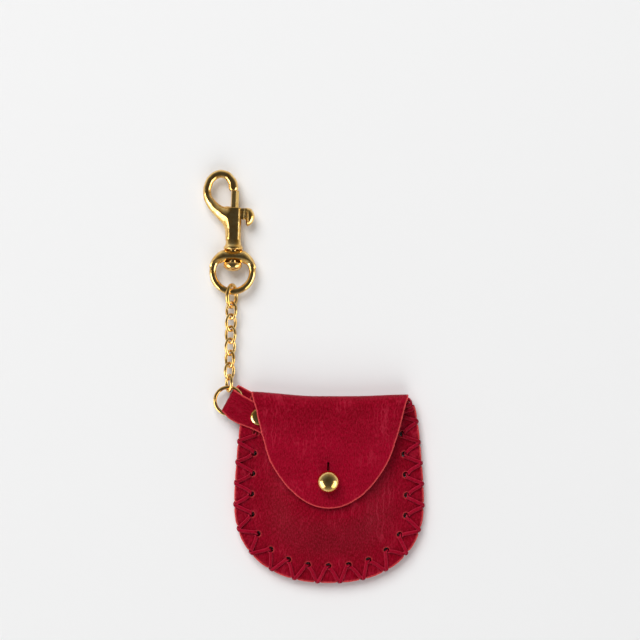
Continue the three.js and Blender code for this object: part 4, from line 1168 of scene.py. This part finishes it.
# %% Casting helpers
def stroke(x, y, way, radii):
    """Distance in the plane to a line whose half width changes along it, negative inside."""
    least = np.full(np.shape(x), 99.0)
    for (ax, ay), (bx, by), first, last in zip(way, way[1:], radii, radii[1:]):
        ex, ey = bx - ax, by - ay
        share = np.clip(((x - ax) * ex + (y - ay) * ey) / (ex * ex + ey * ey), 0, 1)
        away = np.hypot(x - ax - ex * share, y - ay - ey * share)
        least = np.minimum(least, away - first - (last - first) * share)
    return least


def region(x, y, outline):
    """Distance in the plane to the edge of a closed outline, negative inside."""
    inside = np.zeros(np.shape(x), bool)
    for (ax, ay), (bx, by) in zip(outline, outline[1:] + outline[:1]):
        if ay != by:
            inside ^= ((ay > y) != (by > y)) & (x < (bx - ax) * (y - ay) / (by - ay) + ax)
    line = outline + outline[:1]
    return stroke(x, y, line, [0] * len(line)) * np.where(inside, -1, 1)


def pressed(flat, z, half, rounding):
    """A flat shape given a thickness, with its edges rounded."""
    out, up = flat + rounding, np.abs(z) - half + rounding
    return np.hypot(np.maximum(out, 0), np.maximum(up, 0)) + np.minimum(np.maximum(out, up), 0) - rounding


def domed(flat, z, half, run, power=2):
    """A flat shape whose faces fall away to its edge in a quarter of an oval."""
    depth = 1 - np.clip(-flat / run, -0.5, 1)
    return ((depth**power + np.abs(z / half) ** power) ** (1 / power) - 1) * np.minimum(half, run) * 0.9


def melted(a, b, soft):
    """Two shapes as one, with a fillet where they meet."""
    mix = np.clip(0.5 + 0.5 * (b - a) / soft, 0, 1)
    return b * (1 - mix) + a * mix - soft * mix * (1 - mix)


def casting(name, field, low, high, step):
    """The surface where a distance field is zero, as a closed mesh of even quads."""
    axes = [np.arange(a, b + step, step) for a, b in zip(low, high)]
    inside = field(*np.meshgrid(*axes, indexing="ij")) < 0
    shape = np.array(inside.shape) - 1
    filled = np.zeros(shape, int)
    for i, j, k in np.ndindex(2, 2, 2):
        filled += inside[i:i + shape[0], j:j + shape[1], k:k + shape[2]]
    crossed = (filled > 0) & (filled < 8)
    index = np.full(shape, -1)
    index[crossed] = np.arange(crossed.sum())
    points = np.argwhere(crossed) * step + np.array(low) + step / 2
    quads = []
    for axis in range(3):
        one, other = [a for a in range(3) if a != axis]
        where = np.argwhere(np.diff(inside, axis=axis))
        where = where[(where[:, one] > 0) & (where[:, other] > 0)]
        ring = []
        for u, v in ((0, 0), (1, 0), (1, 1), (0, 1)):
            cell = where.copy()
            cell[:, one] -= u
            cell[:, other] -= v
            ring.append(index[tuple(cell.T)])
        quads.append(np.stack(ring, -1))
    quads = np.concatenate(quads)
    reach = step / 4
    for _ in range(4):
        sums, counts = np.zeros_like(points), np.zeros(len(points))
        np.add.at(sums, quads.ravel(), np.repeat(points[quads].mean(1), 4, 0))
        np.add.at(counts, quads.ravel(), 1)
        points = sums / counts[:, None]
        for _ in range(2):
            slope = np.stack([field(*(points + e).T) - field(*(points - e).T) for e in np.eye(3) * reach], -1)
            slope /= 2 * reach
            points -= (field(*points.T) / np.maximum((slope**2).sum(1), 0.3))[:, None] * slope
    return mesh_object(name, points, quads.tolist())


# %% [markdown]
# ## Swivel eye and stem
# The eye is a round wire with a thick arched bridge, which has a bevelled lower edge. The
# stem turns in the bridge, and its domed head looks out below it. Where the large link
# hangs, the wire is worn flatter, which also leaves the link room to swing.

# %% Swivel eye and stem
EYE_AT, EYE_RADIUS, EYE_WIRE, EYE_WEAR = 47.5, 7.3, 2.5, 0.2
BRIDGE_OUT, BRIDGE_TOP, BRIDGE_ARCH, BRIDGE_END, BRIDGE_THICK, BRIDGE_RUN = 8.7, 7.7, 3.4, 1.7, 4.5, 2.2
EYE_FILLET, BEVEL_FILLET = 0.7, 0.3
BEVEL_FOOT, BEVEL_SLOPE, BEVEL_SCALE = 0.65, 0.88, 1.33
SEAT_RADIUS, PIN_BORE, PIN_RADIUS = 3.7, 1.65, 1.45
STEM_TOP, STEM_HEAD, STEM_HEIGHT, FLANGE_AT, PIN_REACH = 50.85, 3.4, 3.25, 55.5, 2.6
bridge_start = math.asin(BRIDGE_END / BRIDGE_OUT)
bridge_outline = [(BRIDGE_OUT * math.cos(t), min(BRIDGE_OUT * math.sin(t), BRIDGE_TOP))
                  for t in np.linspace(bridge_start, math.pi - bridge_start, 40)]
bridge_outline += [(BRIDGE_OUT * math.cos(bridge_start) * s, BRIDGE_ARCH + (BRIDGE_END - BRIDGE_ARCH) * s * s)
                   for s in np.linspace(-1, 1, 22)[1:-1]]


def eye_field(x, y, z):
    worn = 1 + EYE_WEAR * (1 - smooth(np.abs(x), 2.5, 5)) * (y < 0)
    wire_part = np.hypot(np.hypot(x, y) - EYE_RADIUS, z * worn) - EYE_WIRE / 2
    rise = y - BRIDGE_ARCH + (BRIDGE_ARCH - BRIDGE_END) * (x / BRIDGE_OUT) ** 2
    bevel = (np.abs(z) - BEVEL_FOOT - BEVEL_SLOPE * np.maximum(rise, 0)) / BEVEL_SCALE
    arch = domed(region(x, y, bridge_outline), z, BRIDGE_THICK / 2, BRIDGE_RUN)
    return melted(wire_part, -melted(-arch, -bevel, BEVEL_FILLET), EYE_FILLET)


eye = casting("swivel_eye_cast", eye_field, (-9.4, -9.4, -2.6), (9.4, 9.4, 2.6), 0.19)
cut(eye, bore("eye_bore", PIN_BORE, 3, 12), bore("eye_seat", SEAT_RADIUS, 0, BRIDGE_ARCH + 0.02, 48))
gilded(moved(eye, 0, EYE_AT), "eye", "swivel_eye", crease=40)

stem_profile = [(STEM_HEAD * math.sin(t), STEM_TOP - STEM_HEIGHT * (0.3 + 0.7 * math.cos(t)))
                for t in np.linspace(0, math.pi / 2, 18)]
stem_profile += [(STEM_HEAD, STEM_TOP - 0.5), (STEM_HEAD * 0.9, STEM_TOP), (PIN_RADIUS, STEM_TOP),
                 (PIN_RADIUS, FLANGE_AT + PIN_REACH), (0, FLANGE_AT + PIN_REACH)]
gilded(turned("swivel_stem_pin", stem_profile, 56, "Y"), "snap", "swivel_stem", crease=35)

# %% [markdown]
# ## Snap hook
# The hook, its web and the barrel are one casting. The hook is a stroke whose width
# changes along a curve, and the web is an outline that melts into it. The faces of both
# fall away to their edges, most of all on the web. The barrel has a rounded square
# section, so its front mirrors the dim ceiling between two bright edges.

# %% Snap hook body
BARREL_AT, BARREL_TOP, BARREL_RADIUS, BARREL_DEPTH, BARREL_POWER = 57.8, 71.15, 2.65, 2.35, 2.8
NOSE_BOTTOM, HOOK_REACH, HOOK_RISE = 77.3, 10.3, 12.2
HOOK_THIN, HOOK_ROOT, HOOK_NOSE = 1.5, 0.8, 0.3
HOOK_DEEP, WEB_DEEPER, HOOK_RUN, WEB_RUN = 1.55, 0.75, 1.4, 1.8
WEB_FILLET, BARREL_FILLET, BARREL_EDGE, FLANGE_FILLET = 1.6, 1.3, 0.5, 0.7
HOOK_SHARES = [(-0.024, -0.451), (-0.4, -0.225), (-0.752, 0.004), (-0.959, 0.256), (-1, 0.512), (-0.903, 0.789),
               (-0.716, 0.947), (-0.51, 1), (-0.279, 0.943), (-0.109, 0.768)]
hook_points = [(HOOK_REACH * x, BARREL_TOP + HOOK_RISE * y) for x, y in HOOK_SHARES]
hook_points.append((-0.65, NOSE_BOTTOM + 1.15))
hook_way = eased(hook_points, 6)
share = np.linspace(0, 1, len(hook_way))
hook_radius = HOOK_THIN + HOOK_ROOT * (1 - smooth(share, 0, 0.36)) + HOOK_NOSE * smooth(share, 0.78, 1)
web_outline = [(-8.9, 71.4), (-6.2, 67.6), (-4.2, 65.5), (-3.1, 63.0), (-2.55, 59.3), (0, 59.3), (0, 71.1),
               (-4.2, 70.9), (-6.3, 71.3), (-8.1, 73.2)]
FLANGE = 3.7
flange_outline = [(-1, FLANGE_AT), (FLANGE * 0.86, FLANGE_AT), (FLANGE, FLANGE_AT + 0.5),
                  (FLANGE * 0.94, FLANGE_AT + 1.1), (2.95, FLANGE_AT + 1.9), (2.3, BARREL_AT + 0.9),
                  (-1, BARREL_AT + 0.9)]


def hook_field(x, y, z):
    flat = melted(stroke(x, y, hook_way, hook_radius), region(x, y, web_outline), WEB_FILLET)
    deep, web_here = HOOK_DEEP + WEB_DEEPER * smooth(74 - y, 0, 5), smooth(76 - y, 0, 6)
    body = domed(flat, z, deep, HOOK_RUN + WEB_RUN * web_here, 2 - 0.6 * web_here)
    flange = region(np.hypot(x, z), y, flange_outline)
    middle, half = (BARREL_TOP + BARREL_AT) / 2, (BARREL_TOP - BARREL_AT) / 2
    spread = np.abs(x / BARREL_RADIUS) ** BARREL_POWER + np.abs(z / BARREL_DEPTH) ** BARREL_POWER
    section = (spread ** (1 / BARREL_POWER) - 1) * BARREL_DEPTH
    barrel = -melted(-section, half - np.abs(y - middle), BARREL_EDGE)
    return melted(melted(body, barrel, BARREL_FILLET), flange, FLANGE_FILLET)


hook = casting("snap_hook_cast", hook_field, (-13, FLANGE_AT - 0.5, -4.1), (4.2, 86.2, 4.1), 0.2)
cut(hook, bore("bolt_bore", 1.8, BARREL_AT + 1.4, BARREL_TOP + 2),
    box("lever_slot", (0, 61.85, -1.1), (5, BARREL_TOP + 2, 1.1)),
    bore("stem_hole", PIN_BORE, FLANGE_AT - 2, FLANGE_AT + 2.9),
    bore("nose_cut", 3.4, NOSE_BOTTOM - 2, NOSE_BOTTOM))
gilded(hook, "snap", "snap_hook_body", crease=40)

# %% [markdown]
# ## Bolt and lever
# The bolt closes the hook. It is a six-sided bar with a thumb lever that runs in the
# barrel's slot. The lever's face has fine ribs for the thumb.

# %% Bolt and lever
BOLT_REACH, BOLT_TAIL, LEVER_HEIGHT, BOLT_FLAT = 6.08, 4.6, 4.2, 1.33
NECK_AT, NECK_HALF, NECK_DEPTH, CLAW_DEPTH, CLAW_RUN = 2.4, 2.3, 0.82, 1.8, 1.7
RIB, RIB_PITCH, RIB_START = 0.09, 0.75, 2.8
BOLT_MIDDLE, BOLT_HALF = BARREL_TOP + (BOLT_REACH - BOLT_TAIL) / 2, (BOLT_REACH + BOLT_TAIL) / 2
claw_outline = [(4.2, 71.05), (5.3, 71.1), (6.3, 70.7), (7.1, 69.6), (7.55, 68.2), (7.35, 66.8), (6.7, 65.5),
                (5.6, 64.5), (4.8, 64.35), (4.3, 65.2), (4.2, 67.5)]


def trigger_field(x, y, z):
    facets = [x * math.cos(t) + z * math.sin(t) for t in np.arange(0.75, 6.5) * math.pi / 3]
    bar = np.maximum(np.max(facets, axis=0) - BOLT_FLAT, np.abs(y - BOLT_MIDDLE) - BOLT_HALF)
    lever = np.abs(y - BARREL_TOP + 0.2 + LEVER_HEIGHT / 2) - LEVER_HEIGHT / 2
    neck = pressed(np.maximum(np.abs(x - NECK_AT) - NECK_HALF, lever), z, NECK_DEPTH, 0.2)
    ribs = RIB * np.cos(x * 2 * math.pi / RIB_PITCH) * (x > RIB_START)
    claw = domed(region(x, y, claw_outline), z, CLAW_DEPTH, CLAW_RUN)
    return melted(melted(bar, neck + ribs, 0.2), claw, 0.4)


trigger = casting("trigger_cast", trigger_field, (-2.2, 63.8, -2.3), (8.2, 77.6, 2.3), 0.13)
gilded(trigger, "trigger", "trigger_bolt", crease=50)

# %% [markdown]
# ## Bolt spring
# A second small tree winds the spring behind the bolt. It stands on the floor of the bore,
# and is pressed together as the bolt is drawn back.

# %% Bolt spring
SPRING_TURNS, SPRING_RADIUS, SPRING_WIRE = 4.0, 1.1, 0.4
spring_tree, given = new_tree("wind_spring", ["Turns", "Radius", "Length", "Wire"])
coil = node(spring_tree, "GeometryNodeCurveSpiral", Resolution=28, Rotations=given["Turns"], Height=given["Length"],
            Start_Radius=given["Radius"], End_Radius=given["Radius"])
coil_radius = maths(spring_tree, "MULTIPLY", given["Wire"], 0.5)
coil_wire = node(spring_tree, "GeometryNodeCurvePrimitiveCircle", Resolution=10, Radius=coil_radius)
wound = node(spring_tree, "GeometryNodeCurveToMesh", Curve=coil, Profile_Curve=coil_wire, Fill_Caps=True)
end_tree(spring_tree, wound, given["Material"])
spring_low, spring_high = BARREL_AT + 1.9, BARREL_TOP - BOLT_TAIL - 0.5
spring = grown(spring_tree, "bolt_spring_wire", turns=SPRING_TURNS, radius=SPRING_RADIUS,
               length=spring_high - spring_low, wire=SPRING_WIRE, material=steel)
spring.data.transform(Matrix.Translation((0, spring_low, 0)) @ Matrix.Rotation(-math.pi / 2, 4, "X"))
finished(spring, "snap", ["bolt_spring"], steel, line=True)
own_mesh(spring)

# %% [markdown]
# ## The screw inside
# The stud's screw head sits inside the pouch. Its solid is right as it is, so it only
# gets the gold finish.

# %% Screw inside the pouch
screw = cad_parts["stud_screw"]
for holder in screw.material_slots:
    holder.material = gold

# %% [markdown]
# ## Finish
# The two point clouds that placed the punches go.

# %% Finish
for points_object in (hole_points, back_points):
    bpy.data.objects.remove(points_object)
